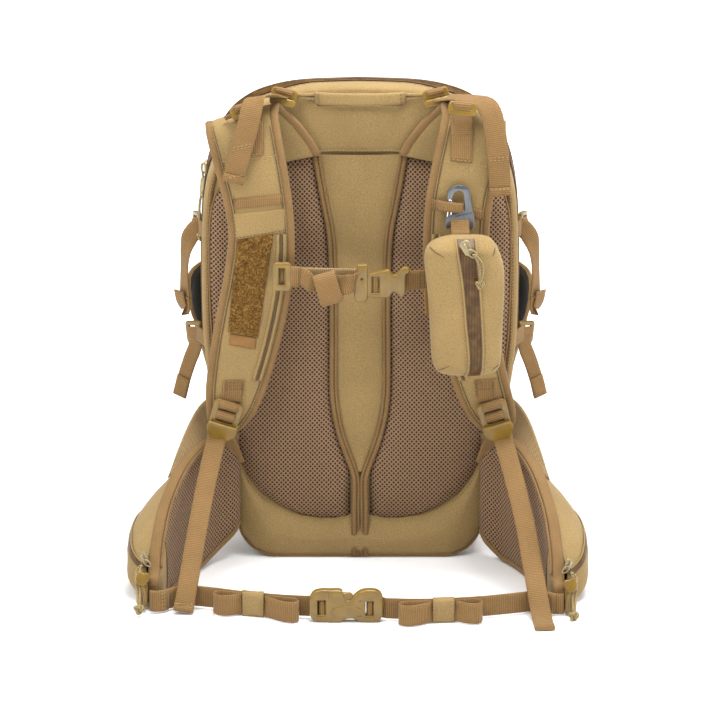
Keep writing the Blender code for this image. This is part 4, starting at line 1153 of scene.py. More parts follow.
def build_lifters():
    tails = {"left": ([(-0.0930, -0.1340, 0.5660), (-0.1010, -0.1440, 0.5690), (-0.1080, -0.1560, 0.5722),
                       (-0.1200, -0.1700, 0.5720),
                       (-0.1245, -0.1790, 0.5610), (-0.1290, -0.1830, 0.5420), (-0.1390, -0.1862, 0.5060),
                       (-0.1470, -0.1855, 0.4765)], (1.0, 0.0, 0.24)),
             "right": ([(0.0930, -0.1340, 0.5650), (0.1050, -0.1440, 0.5680), (0.1180, -0.1560, 0.5700),
                        (0.1400, -0.1690, 0.5680),
                        (0.1500, -0.1790, 0.5580), (0.1545, -0.1840, 0.5400), (0.1580, -0.1862, 0.5150),
                        (0.1605, -0.1862, 0.4880), (0.1620, -0.1855, 0.4615)], (1.0, 0.0, 0.06))}
    for side, sign in SIDES:
        points, across = tails[side]
        path = smooth(points, 4)
        sides = []
        for k, p in enumerate(path):
            t = min(1.0, k / 14)
            sides.append(Vector((0.30, 0.62 * sign, 0.10)).normalized().lerp(Vector(across), t))
        made = web(f"lifter_web_{side}", path, sides, 0.0250, None, replaces=(f"lifter_tail_{side}",))
        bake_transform(made)
        end, run = path[-1], (path[-1] - path[-3]).normalized()
        cross_dir = Vector(across).normalized()
        hem = [end - run * back + Vector((0, -0.0018, 0)) for back in (0.0095, 0.0045, 0.0)]
        web(f"lifter_hem_{side}", hem, Vector(across), 0.0250, f"strap_{side}")
        lines = []
        for back, lift in ((0.0078, 0.0031), (0.0420, 0.0012), (0.0450, 0.0012)):
            spot = path[-1] - run * back
            spot.y = table([(p.z, p.y) for p in path[::-1][:20]], spot.z)
            lines.append(([spot + cross_dir * x + Vector((0, -lift, 0)) for x in (-0.0115, 0, 0.0115)],
                          (0, -1, 0)))
        stitch_line(f"lifter_stitches_{side}", lines, f"strap_{side}")
        # buckle on the yoke: wrapped upper bar and wide lower bar
        place = facing((sign * 0.0885, -0.1318, 0.5672), turn=sign * -0.22 if side == "right" else 0.22,
                       lean=-0.20)
        frame_loops = ladder_loops(0.0280, 0.0150, 0.0030, (0.0005,), 0.0030)
        plate(f"lifter_buckle_frame_{side}", frame_loops, 0.0052, 0.0013, PLASTIC, "root", place,
              replaces=(f"lifter_buckle_{side}",))
        bar = rounded(0.0270, 0.0058, 0.0024)
        plate(f"lifter_buckle_bar_{side}", [bar], 0.0062, 0.0018, PLASTIC, "root",
              place @ Matrix.Translation((0, -0.0072, 0.0060)))
        direction = (place.to_3x3() @ Vector((1, 0, 0))).normalized()
        wrap = [place @ Vector((0, 0.0050 + 0.0034 * math.sin(a), 0.0006 + 0.0034 * math.cos(a)))
                for a in (math.radians(-150 + 300 * k / 14) for k in range(15))]
        web(f"lifter_wrap_{side}", wrap, direction, 0.0205, "root", thick=0.0016)
        # outer buckle, on the strap where its webbing comes out
        if side == "right":
            place = facing((0.1175, -0.1785, 0.5615), turn=0.10, lean=-0.25)
        else:
            place = facing((-0.1330, -0.1665, 0.5570), turn=-0.25, lean=-0.25)
            tab = smooth([(-0.1400, -0.1600, 0.5490), (-0.1475, -0.1620, 0.5500),
                          (-0.1560, -0.1615, 0.5470)], 4)
            web("lifter_tab", tab, Vector((0.2, -0.5, 0.9)), 0.0070, "strap_left")
        plate(f"lifter_outer_buckle_{side}", ladder_loops(0.0300, 0.0130, 0.0034, (0.0010,), 0.0028), 0.0052,
              0.0014, PLASTIC,
              f"strap_{side}", place)
        roll = [place @ Vector((0, 0.0045 + 0.0034 * math.sin(a), 0.0014 + 0.0032 * math.cos(a)))
                for a in (math.radians(-150 + 300 * k / 14) for k in range(15))]
        direction = (place.to_3x3() @ Vector((1, 0, 0))).normalized()
        web(f"lifter_roll_{side}", roll, direction, 0.0210, f"strap_{side}", thick=0.0016)
        hang = [place @ Vector((0, -0.0030, -0.0010)), place @ Vector((0, -0.0080, -0.0010)),
                strap_at(side, abs(place.translation.x) + 0.0006, 0.5430, 0.0018),
                strap_at(side, abs(place.translation.x) + 0.0006, 0.5300, 0.0018)]
        if side == "right":
            web("lifter_hang", smooth(hang, 3), Vector((1, 0, 0)), 0.0236, "strap_right")


for side_name, side_sign in SIDES:
    build_strap(side_name, side_sign)
    build_strap_details(side_name, side_sign)
    build_lock(side_name, side_sign)
build_tails()
build_lifters()


# ---------------------------------------------------------------- small parts used in several places
def edging(name, path, normals, outs, mat, body, half=0.0062, deep=0.0034):
    """Binding folded over an edge: wide across the edge's thickness and shallow outwards."""
    rows = [[point + normal * (half * math.cos(a)) + out * (deep * math.sin(a))
             for a in (2 * math.pi * k / 12 for k in range(12))]
            for point, normal, out in zip(path, normals, outs)]
    verts, faces, uvs = grid(rows, wrap=True, caps=True)
    return piece(name, verts, faces, mat, body, uvs)


def knot(name, centre, size, body):
    """Tight overhand knot, three lobes wound over each other."""
    path = []
    for k in range(48):
        t = 2 * math.pi * k / 48
        path.append(Vector(centre) + Vector((math.sin(t) + 2 * math.sin(2 * t), -math.sin(3 * t),
                                             math.cos(t) - 2 * math.cos(2 * t))) * (size / 3))
    return tube(name, path, size * 0.34, CORD, body, 8, closed=True)


def pull_cord(name, points, body, replaced, spread=0.0030, radius=0.0012, across=Vector((1, 0, 0)),
              size=0.0044):
    """Doubled pull cord from a slider down to its knot."""
    path = smooth(points, 4)
    for index, side in enumerate((-1, 1)):
        strand = [p + across * (side * spread * math.sin(math.pi * (0.06 + 0.90 * k / (len(path) - 1))))
                  for k, p in enumerate(path)]
        tube(f"{name}_strand_{index}", strand, radius, CORD, body, 8,
             replaces=(replaced,) if index == 0 else ())
    knot(f"{name}_knot", path[-1], size, body)


def zip_slider(name, place, body, replaced, scale=1.0, ring_turn=0.0):
    """Slider body with its bridge and the ring for its pull, in a plane that faces the place's local Z."""
    outline = [(x * scale, y * scale)
               for x, y in ((-0.0040, 0.0050), (-0.0026, 0.0062), (0.0026, 0.0062), (0.0040, 0.0050),
                            (0.0034, -0.0010),
                            (0.0030, -0.0056), (0.0018, -0.0064), (-0.0018, -0.0064), (-0.0030, -0.0056),
                            (-0.0034, -0.0010))]
    replaces = (replaced,) if replaced else ()
    plate(name, [outline], 0.0034 * scale, 0.0011 * scale, SLIDER, body, place, replaces=replaces)
    bridge = [place @ (Vector(p) * scale) for p in smooth([(0, 0.0045, 0.0010), (0, 0.0040, 0.0036),
            (0, 0.0, 0.0046),
                                                          (0, -0.0045, 0.0036), (0, -0.0052, 0.0010)], 3)]
    tube(f"{name}_bridge", bridge, 0.0013 * scale, SLIDER, body, 8)
    swung = place @ Matrix.Rotation(ring_turn, 4, "Z")
    ring = [swung @ (Vector((0.0030 * math.cos(a), -0.0072 + 0.0052 * math.sin(a),
                             0.0034 + 0.0008 * math.sin(a))) * scale)
            for a in (2 * math.pi * k / 28 for k in range(28))]
    tube(f"{name}_ring", ring, 0.0009 * scale, SLIDER, body, 8, closed=True)


def ring_web(name, centre, along, deep, half_long, half_deep, across, width, body, mat=WEBBING, thick=0.0018,
             **more):
    """Webbing that runs in a closed flat ring; along and deep span the ring's plane."""
    path = []
    for k in range(25):
        a = 2 * math.pi * k / 24
        c, s = math.cos(a), math.sin(a)
        path.append(Vector(centre) + Vector(along) * (half_long * math.copysign(abs(c) ** 0.6, c))
                    + Vector(deep) * (half_deep * math.copysign(abs(s) ** 0.6, s)))
    return web(name, path, Vector(across), width, body, mat, thick, **more)


# ---------------------------------------------------------------- sternum strap
STERNUM_Y, STERNUM_Z = -0.1880, 0.3640


def upright_plate(name, loops, thickness, bevel, y, body, mat=PLASTIC, **more):
    """Plate given in the object's own x and z, facing -Y at a depth."""
    return plate(name, loops, thickness, bevel, mat, body,
                 Matrix.Translation((0, y, 0)) @ Matrix.Rotation(math.pi / 2, 4, "X"),
                 **more)


def build_sternum():
    up = Vector((0, 0, 1))
    for side, sign in SIDES:
        centre = (sign * 0.0905, STERNUM_Z + 0.0015)
        loops = [rounded(0.0178, 0.0310, 0.0030, 4, centre), rounded(0.0110, 0.0232, 0.0016, 3, centre)]
        upright_plate(f"sternum_clip_{side}", loops, 0.0062, 0.0016, STERNUM_Y - 0.0005, "sternum",
                      replaces=(f"sternum_slider_{side}",))
        foot = [Vector((sign * 0.0905, STERNUM_Y + y, STERNUM_Z + 0.0015 + z))
                for y, z in ((0.0060, -0.0100), (0.0050, 0.0), (0.0060, 0.0100))]
        tube(f"sternum_clip_foot_{side}", smooth(foot, 3), 0.0030, PLASTIC, "sternum", 8)
    path = smooth([(-0.0700, STERNUM_Y - 0.0005, 0.3650), (-0.0800, STERNUM_Y - 0.0022, 0.3652),
                   (-0.0868, STERNUM_Y - 0.0010, 0.3652),
                   (-0.0868, STERNUM_Y + 0.0030, 0.3652), (-0.0790, STERNUM_Y + 0.0040, 0.3650),
                   (-0.0700, STERNUM_Y + 0.0020, 0.3648)], 4)
    web("sternum_clip_loop", path, up, 0.0240, "sternum", replaces=("sternum_webbing_left",))
    fold = smooth([(-0.0705, STERNUM_Y + 0.0006, 0.3655), (-0.0640, STERNUM_Y - 0.0010, 0.3635),
                   (-0.0570, STERNUM_Y - 0.0022, 0.3575),
                   (-0.0500, STERNUM_Y - 0.0005, 0.3545)], 4)
    leans = [Vector((0.02 + 0.36 * min(1.0, k / 8), 0, 1)) for k in range(len(fold))]
    web("sternum_fold", fold, leans, [0.0235 - 0.0006 * k for k in range(len(fold))], "sternum")
    lean = math.radians(17)
    ring_web("sternum_slack", (-0.0368, STERNUM_Y - 0.0075, 0.3530), (-math.sin(lean), 0, math.cos(lean)),
             (0, 1, 0), 0.0182, 0.0074,
             (math.cos(lean), 0, math.sin(lean)), 0.0270, "sternum")
    ring_web("sternum_slack_inner", (-0.0368, STERNUM_Y - 0.0072, 0.3530),
             (-math.sin(lean), 0, math.cos(lean)), (0, 1, 0),
             0.0150, 0.0040, (math.cos(lean), 0, math.sin(lean)), 0.0262, "sternum")
    twist = smooth([(-0.0300, STERNUM_Y - 0.0020, 0.3560), (-0.0200, STERNUM_Y - 0.0085, 0.3570),
                    (-0.0120, STERNUM_Y - 0.0100, 0.3590),
                    (-0.0058, STERNUM_Y - 0.0070, 0.3620), (-0.0050, STERNUM_Y - 0.0010, 0.3625),
                    (-0.0090, STERNUM_Y + 0.0030, 0.3590), (-0.0200, STERNUM_Y + 0.0020, 0.3540)], 4)
    leans = [Vector((0.46 - 0.012 * k, 0.04, 0.90)) for k in range(len(twist))]
    web("sternum_twist", twist, leans, [0.0240 - 0.0002 * k for k in range(len(twist))], "sternum")
    web("sternum_elastic", smooth([(-0.0720, STERNUM_Y + 0.0060, 0.3690),
                                   (-0.0380, STERNUM_Y + 0.0058, 0.3680),
                                   (-0.0060, STERNUM_Y + 0.0055, 0.3672),
                                   (0.0080, STERNUM_Y + 0.0040, 0.3665)], 4),
        up, 0.0120, "sternum", ELASTIC)
    seam = [([(x, STERNUM_Y - 0.0016, z) for z in (0.3550, 0.3590, 0.3630, 0.3670, 0.3710, 0.3750)],
             (0, -1, 0))
            for x in (-0.0712, -0.0735)]
    stitch_line("sternum_stitches", seam, "sternum", SHADE)

    whistle = [(-0.0012, 0.3786), (0.0062, 0.3786), (0.0072, 0.3740), (0.0072, 0.3400), (0.0052, 0.3374),
               (-0.0022, 0.3374),
               (-0.0046, 0.3405), (-0.0050, 0.3560), (-0.0030, 0.3655)]
    upright_plate("sternum_small_bar", [whistle, rounded(0.0058, 0.0056, 0.0020, 3, (0.0022, 0.3634))],
                  0.0075, 0.0022,
                  STERNUM_Y - 0.0020, "sternum")
    frame_loop = [(0.0060, 0.3668), (0.0180, 0.3690), (0.0296, 0.3716), (0.0296, 0.3424), (0.0180, 0.3424),
                  (0.0060, 0.3432)]
    upright_plate("sternum_socket", [frame_loop, rounded(0.0126, 0.0226, 0.0010, 2, (0.0182, 0.3558))],
                  0.0086, 0.0018,
                  STERNUM_Y, "sternum", replaces=("sternum_female",))
    cross = smooth([(0.0300, 0.3720, 0), (0.0330, 0.3722, 0), (0.0362, 0.3680, 0), (0.0400, 0.3662, 0),
                    (0.0440, 0.3672, 0),
                    (0.0468, 0.3712, 0), (0.0505, 0.3752, 0), (0.0553, 0.3744, 0), (0.0560, 0.3716, 0),
                    (0.0524, 0.3700, 0),
                    (0.0512, 0.3640, 0), (0.0512, 0.3490, 0), (0.0500, 0.3434, 0), (0.0470, 0.3440, 0),
                    (0.0440, 0.3478, 0),
                    (0.0400, 0.3490, 0), (0.0362, 0.3474, 0), (0.0333, 0.3428, 0), (0.0300, 0.3424, 0)], 2)
    upright_plate("sternum_prongs", [[(p.x, p.y) for p in cross]], 0.0080, 0.0018, STERNUM_Y, "sternum_male",
                  replaces=("sternum_male",))
    for level in (0.3490, 0.3650):
        tongue = rounded(0.0100, 0.0040, 0.0015, 2, (0.0262, level))
        upright_plate(f"sternum_tongue_{'low' if level < 0.36 else 'high'}", [tongue], 0.0030, 0.0008,
                      STERNUM_Y, "sternum_male")
    wrap = smooth([(0.0152, STERNUM_Y + 0.0040, 0.3565), (0.0158, STERNUM_Y - 0.0010, 0.3565),
                   (0.0184, STERNUM_Y - 0.0028, 0.3565),
                   (0.0208, STERNUM_Y - 0.0010, 0.3565), (0.0214, STERNUM_Y + 0.0040, 0.3565)], 4)
    web("sternum_frame_wrap", wrap, up, 0.0232, "sternum")
    right = smooth([(0.0480, STERNUM_Y + 0.0030, 0.3585), (0.0580, STERNUM_Y + 0.0058, 0.3590),
                    (0.0680, STERNUM_Y + 0.0082, 0.3592),
                    (0.0860, STERNUM_Y + 0.0090, 0.3592)], 4)
    web("sternum_webbing_far", right, up, 0.0240, "sternum", replaces=("sternum_webbing_right",))
    far = [([(x, STERNUM_Y + 0.0066, z) for z in (0.3485, 0.3530, 0.3575, 0.3620, 0.3665, 0.3705)],
            (0, -1, 0))
           for x in (0.0700, 0.0745)]
    stitch_line("sternum_far_stitches", far, "sternum", SHADE)


# ---------------------------------------------------------------- carabiner and pouch
CLIP = (0.1160, -0.1870, 0.4470)
POUCH_Y = -0.2185
# outline of the pouch from the front: (height, left edge, right edge)
POUCH_OUTLINE = [(0.2560, 0.1080, 0.1330), (0.2572, 0.0990, 0.1460), (0.2605, 0.0905, 0.1565),
                 (0.2660, 0.0862, 0.1612),
                 (0.2760, 0.0832, 0.1632), (0.3000, 0.0815, 0.1645), (0.3300, 0.0798, 0.1655),
                 (0.3600, 0.0775, 0.1665),
                 (0.3850, 0.0745, 0.1655), (0.4000, 0.0742, 0.1612), (0.4085, 0.0768, 0.1578),
                 (0.4150, 0.0830, 0.1532),
                 (0.4195, 0.0930, 0.1490), (0.4220, 0.1020, 0.1420)]
ZIP_LEFT = [(0.2555, 0.1215), (0.2640, 0.1250), (0.2850, 0.1260), (0.3200, 0.1225), (0.3700, 0.1180),
            (0.4220, 0.1095)]
ZIP_RIGHT = [(0.2555, 0.1385), (0.2640, 0.1405), (0.2900, 0.1415), (0.3200, 0.1400), (0.3700, 0.1365),
             (0.4220, 0.1315)]


def pouch_edges(z):
    return (spread([(h, a) for h, a, _ in POUCH_OUTLINE], z),
            spread([(h, b) for h, _, b in POUCH_OUTLINE], z))


def pouch_front(x, z, lift=0.0):
    """Point on the pouch's front face."""
    left, right = pouch_edges(z)
    share = min(abs((2 * x - left - right) / (right - left)), 0.999)
    depth = 0.0235 * (1 - share ** 3.2) ** (1 / 3.2)
    ends = min(1.0, max(min(z - 0.2550, 0.4230 - z), 0.0003) / 0.015) ** 0.5
    return Vector((x, POUCH_Y - depth * ends - lift + wrinkle((x, z, 21), 0.035, 0.0008), z))


def build_carabiner():
    hook = [(-0.0142, 0.0088), (-0.0142, 0.0202), (-0.0098, 0.0242), (-0.0021, 0.0268), (0.0056, 0.0248),
            (0.0095, 0.0216),
            (0.0106, 0.0128), (0.0122, 0.0015), (0.0149, -0.0086), (0.0153, -0.0210), (0.0122, -0.0252),
            (0.0100, -0.0228),
            (0.0095, -0.0149), (-0.0118, -0.0160), (-0.0123, -0.0222), (-0.0150, -0.0235),
            (-0.0173, -0.0190),
            (-0.0160, -0.0120), (-0.0128, -0.0090), (-0.0040, -0.0065), (0.0055, -0.0034), (0.0062, 0.0010),
            (0.0052, 0.0100),
            (0.0045, 0.0163), (0.0017, 0.0203), (-0.0032, 0.0216), (-0.0076, 0.0190), (-0.0098, 0.0145),
            (-0.0109, 0.0088)]
    x, y, z = CLIP
    upright_plate("carabiner_hook", [[(x + a, z + b) for a, b in hook]], 0.0046, 0.0010, y, "carabiner",
                  ALLOY,
                  replaces=("carabiner",))
    # painted shade: a near-black line laid in the hook's groove
    groove_shade = [Vector((x + a, y - 0.0024, z + b)) for a,
              b in ((-0.0055, -0.0098), (0.0040, -0.0072), (0.0128, -0.0052))]
    tube("carabiner_groove", groove_shade, 0.0004, BOARD, "carabiner", 6)
    for index, shift in enumerate((0.0, 0.0040)):
        wire = smooth([(x - 0.0152 + shift * 0.8, y - 0.0006, z - 0.0172),
                       (x - 0.0146 + shift, y - 0.0012, z - 0.0040),
                       (x - 0.0130 + shift * 0.6, y - 0.0010, z + 0.0090)], 4)
        tube(f"gate_wire_{index}", wire, 0.0009, WIRE, "carabiner_gate", 8,
             replaces=("carabiner_gate",) if index == 0 else ())
    tube("gate_nose", [Vector((x - 0.0136, y - 0.0016, z + 0.0098)),
                       Vector((x - 0.0098, y - 0.0016, z + 0.0086))], 0.0013, WIRE,
         "carabiner_gate", 8)
    band = smooth([(0.0895, -0.1785, 0.4498), (0.0935, -0.1885, 0.4496), (0.1030, -0.1915, 0.4490),
                   (0.1130, -0.1912, 0.4478),
                   (0.1195, -0.1868, 0.4468), (0.1255, -0.1810, 0.4456)], 4)
    web("hook_keeper", band, Vector((0, 0, 1)), 0.0122, "strap_right")


def build_pouch():
    rings = []
    for k in range(43):
        z = lerp(0.2560, 0.4220, (1 - math.cos(math.pi * k / 42)) / 2)
        left, right = pouch_edges(z)
        ends = min(1.0, max(min(z - 0.2550, 0.4230 - z), 0.0003) / 0.015) ** 0.5
        ring = []
        for c in range(44):
            a = 2 * math.pi * c / 44
            share = math.copysign(abs(math.cos(a)) ** (2 / 3.2), math.cos(a))
            depth = math.copysign(abs(math.sin(a)) ** (2 / 3.2), math.sin(a))
            x = (left + right) / 2 + (right - left) / 2 * share
            reach = (0.0235 if depth < 0 else 0.0200) * ends
            ring.append(Vector((x, POUCH_Y + reach * depth + wrinkle((x, z, 21), 0.035, 0.0008) * -min(depth,
                    0.0), z)))
        rings.append(ring)
    verts, faces, uvs = grid(rings, wrap=True, caps=True)
    piece("pouch_body", verts, faces, CANVAS, "pouch", uvs, replaces=("pouch",))

    levels = [lerp(0.2568, 0.4205, k / 50) for k in range(51)]
    rows, uvs = [], []
    for z in levels:
        left, right = spread(ZIP_LEFT, z), spread(ZIP_RIGHT, z)
        rows.append([pouch_front(lerp(left, right, c / 8), z,
                                 0.0006 + 0.0012 * math.sin(math.pi * c / 8)) for c in range(9)])
        uvs += [(lerp(left, right, c / 8), z) for c in range(9)]
    verts, faces, _ = grid(rows)
    piece("pouch_zip_tape", verts, faces, ZIP, "pouch", uvs)
    lines = []
    for name, edge, sign in (("left", ZIP_LEFT, -1), ("right", ZIP_RIGHT, 1)):
        tube(f"pouch_zip_edge_{name}", [pouch_front(spread(edge, z) + sign * 0.0004, z,
                                                    0.0006) for z in levels], 0.0013, CANVAS,
             "pouch", 8)
        tube(f"pouch_zip_shadow_{name}", [pouch_front(spread(edge, z) - sign * 0.0010, z,
                                                      0.0012) for z in levels], 0.0006, SHADE,
             "pouch", 6)
        lines.append(([pouch_front(spread(edge, z) + sign * 0.0034, z, 0.0004) for z in levels], (0, -1, 0)))
    stitch_line("pouch_stitches", lines, "pouch", THREAD, 0.0026, 0.0016, 0.0004)
    # painted shade: short dark lines in the creases of the darts at the pouch's corners
    for index, (start, end) in enumerate((((0.0800, 0.4110), (0.0970, 0.4010)),
                                          ((0.1545, 0.4100), (0.1520, 0.4020)),
                                          ((0.0910, 0.2655), (0.1040, 0.2730)),
                                          ((0.1600, 0.2715), (0.1520, 0.2660)))):
        dart_shade = [pouch_front(lerp(start[0], end[0], k / 8), lerp(start[1], end[1], k / 8),
                            0.0000) for k in range(9)]
        tube(f"pouch_dart_{index}", dart_shade, [0.0007] * 5 + [0.0006, 0.0005, 0.0004, 0.0002], SHADE, "pouch", 6)
    left = [Vector((pouch_edges(z)[0] + 0.0006, POUCH_Y + 0.0015, z)) for z in (lerp(0.268, 0.408,
            k / 24) for k in range(25))]
    tube("pouch_side_seam", left, 0.0009, BINDING, "pouch", 6)
    loop = smooth([(0.1155, -0.1935, 0.4150), (0.1155, -0.1835, 0.4210), (0.1155, -0.1822, 0.4300),
                   (0.1155, -0.1865, 0.4345),
                   (0.1155, -0.1905, 0.4305), (0.1155, -0.1960, 0.4240), (0.1160, -0.2030, 0.4190)], 4)
    web("pouch_loop", loop, Vector((1, 0, -0.04)), 0.0215, "pouch")
    tag = [Vector((0.0768 + 0.0018 * k / 10, POUCH_Y + 0.004,
                   lerp(0.3580, 0.3260, k / 10))) for k in range(11)]
    web("pouch_tag", tag, Vector((1, 0.3, 0)), 0.0070, "pouch", LEATHER, 0.0012)

    place = facing(pouch_front(0.1215, 0.4130, 0.0046), turn=-0.45)
    zip_slider("pouch_zip_slider", place, "pouch_slider", "pouch_slider", 1.20, 0.40)
    start = pouch_front(0.1290, 0.4075, 0.0074)
    pull_cord("pouch_pull_cord", [start, pouch_front(0.1335, 0.4030, 0.0074),
                                  pouch_front(0.1380, 0.3940, 0.0072),
                                  pouch_front(0.1385, 0.3830, 0.0072), pouch_front(0.1370, 0.3715, 0.0074)],
              "pouch_pull", "pouch_pull", 0.0022)


# ---------------------------------------------------------------- hip belt
# plan of a wing's inner face: (x, y, top edge, foot)
WING_PLAN = [(0.1450, -0.1150, 0.150, 0.040), (0.1525, -0.1335, 0.158, 0.030),
             (0.173, -0.1500, 0.156, 0.013), (0.190, -0.1760, 0.150, 0.003),
             (0.204, -0.2050, 0.140, 0.001), (0.215, -0.2350, 0.124, 0.001), (0.224, -0.2620, 0.102, 0.001),
             (0.230, -0.2880, 0.070, 0.001), (0.232, -0.3060, 0.040, 0.001)]
WING_THICK = 0.012


def turned(point, sign):
    """The right wing lies a little further forward and inward than the left one."""
    if sign < 0:
        return Vector((-point.x, point.y, point.z))
    t = min(max((-0.150 - point.y) / 0.150, 0.0), 1.0)
    return Vector((point.x - 0.0090 * t, point.y - 0.0120 * t,
                   max(point.z - 0.004 * t, min(point.z, 0.001))))


def wing_stations(steps=6):
    plan = smooth([row[:3] for row in WING_PLAN], steps)
    feet = smooth([(row[3], 0, 0) for row in WING_PLAN], steps)
    found = []
    for index, point in enumerate(plan):
        run = plan[min(index + 1, len(plan) - 1)] - plan[max(index - 1, 0)]
        run = Vector((run.x, run.y, 0)).normalized()
        found.append((Vector((point.x, point.y, 0)), Vector((-run.y, run.x, 0)), point.z,
                      max(feet[index].x, 0.001), run))
    return found


def build_wing(side, sign):
    stations = wing_stations()
    mesh_end = len(stations) - 9
    lowered = 0.0 if sign < 0 else 0.012
    feet = [max(foot - lowered, 0.001) for _, _, _, foot, _ in stations]

    def inner(index, t, extra=0.0):
        point, normal, top, _, _ = stations[index]
        foot = feet[index]
        z = lerp(foot, top, t)
        edge = min(z - foot, (top - z) * 0.9, index * 0.008, (len(stations) - 1 - index) * 0.006)
        swell = 0.0042 * puff(edge, 0.010) + extra
        return turned(point - normal * swell + Vector((0, 0, z)), sign)

    travelled, places = 0.0, []
    for index, (point, *_) in enumerate(stations):
        travelled += (point - stations[index - 1][0]).length if index else 0.0
        places.append(travelled)
    rows, uvs = [], []
    for index in range(mesh_end + 1):
        rows.append([inner(index, k / 16) for k in range(17)])
        uvs += [(places[index], lerp(feet[index], stations[index][2], k / 16)) for k in range(17)]
    verts, faces, _ = grid(rows)
    piece(f"wing_mesh_{side}", verts, faces, MESH, "root", uvs, replaces=(f"hip_wing_{side}",))
    rows = [[inner(index, k / 16, 0.0002) for k in range(17)] for index in range(mesh_end, len(stations))]
    verts, faces, uvs = grid(rows)
    piece(f"wing_tip_{side}", verts, faces, CANVAS, "root", uvs)
    seam = [inner(mesh_end, k / 16, 0.0008) for k in range(17)]
    tube(f"wing_seam_{side}", seam, 0.0009, BINDING, "root", 6)
    rows = []
    for index, (point, normal, top, _, _) in enumerate(stations):
        rows.append([turned(point + normal * (WING_THICK + 0.002 * math.sin(math.pi * k / 10))
                            + Vector((0, 0, lerp(feet[index], top, k / 10))), sign) for k in range(11)])
    verts, faces, uvs = grid(rows)
    piece(f"wing_outer_{side}", verts, faces, CANVAS, "root", uvs)

    path, normals, outs = [], [], []
    middle = WING_THICK / 2

    def add(point, normal, out):
        path.append(turned(point, sign))
        normals.append(Vector((sign * normal.x, normal.y, 0)))
        outs.append(Vector((sign * out.x, out.y, out.z)).normalized())

    for point, normal, top, _, run in stations[:-1]:
        add(point + normal * middle + Vector((0, 0, top - 0.0010)), normal, Vector((0, 0, 1)))
    point, normal, top, _, run = stations[-1]
    for k in range(9):
        angle = math.pi * k / 8
        z = lerp(top - 0.001, 0.0042, (1 - math.cos(angle)) / 2)
        add(point + normal * middle + run * (0.0060 * math.sin(angle)) + Vector((0, 0, z)), normal,
            run * math.sin(angle) + Vector((0, 0, math.cos(angle))))
    for index in range(len(stations) - 2, -1, -1):
        point, normal, _, _, run = stations[index]
        add(point + normal * middle + Vector((0, 0, max(feet[index], 0.0004) + 0.0034)), normal,
            Vector((0, 0, -1)))
    edging(f"wing_binding_{side}", path, normals, outs, BINDING, "root", 0.0068, 0.0030)
    for name, move in (("top", -0.0036), ("foot", 0.0044)):
        ends = len(stations) - (2 if name == "top" else 8)
        band, ups = [], []
        for index in range(ends):
            point, normal, top, _, _ = stations[index]
            z = top + move if name == "top" else feet[index] + move
            band.append(turned(point - normal * 0.0018 + Vector((0, 0, z)), sign))
            ups.append(Vector((-sign * normal.x * 0.25, -normal.y * 0.25, 1)))
        web(f"wing_band_{name}_{side}", band, ups, 0.0086, "root", BINDING, 0.0024)
    top_line = [inner(index, 1.0, 0.0) + Vector((0, 0, -0.0035)) for index in range(0, len(stations) - 1)]
    shift = [Vector((-sign * 0.0004 * s[1].x - sign * 0.0010 * s[1].x, -0.0014 * s[1].y,
                     0)) for s in stations[:-1]]
    stitch_line(f"wing_stitches_{side}", [([p + d for p, d in zip(top_line, shift)],
                                           [Vector((-sign * s[1].x, -s[1].y, 0)) for s in stations[:-1]])],
                "root", THREAD)


def pocket_rings():
    """Sections of a hip pocket along its wing: (centre of its inner side, outward, foot, head, depth, run)."""
    stations = wing_stations()[15:43]
    rings, last = [], len(stations) - 1
    for index, (point, normal, top, foot, run) in enumerate(stations):
        t = index / last
        depth = 0.0460 * (0.42 + 0.58 * math.sin(math.pi * (t * 0.92 + 0.04)))
        if t > 0.86:
            depth *= math.sqrt(max(1 - ((t - 0.86) / 0.17) ** 2, 0.05))
        if t < 0.10:
            depth *= 0.55 + 4.5 * t
        rings.append((point + normal * (WING_THICK + 0.0010), normal, foot + 0.0030, top * 0.93, depth, run))
    return rings


def pocket_point(ring, across, up, lift=0.0):
    """Point of a section: across is 0 at the wing and 1 at the outer face, up is 0 at the foot and 1 at the head."""
    base, normal, foot, head, depth, _ = ring
    slope = 0.30 * across * (head - foot)
    return base + normal * (depth * across + lift) + Vector((0, 0, lerp(foot, head - slope, up)))


def pocket_skin(ring, up, lift):
    """Point on the rounded surface of a section."""
    rise = abs(2 * up - 1) ** (1 / 0.62)
    return pocket_point(ring, math.sqrt(1 - rise * rise) ** 0.62, up, lift)


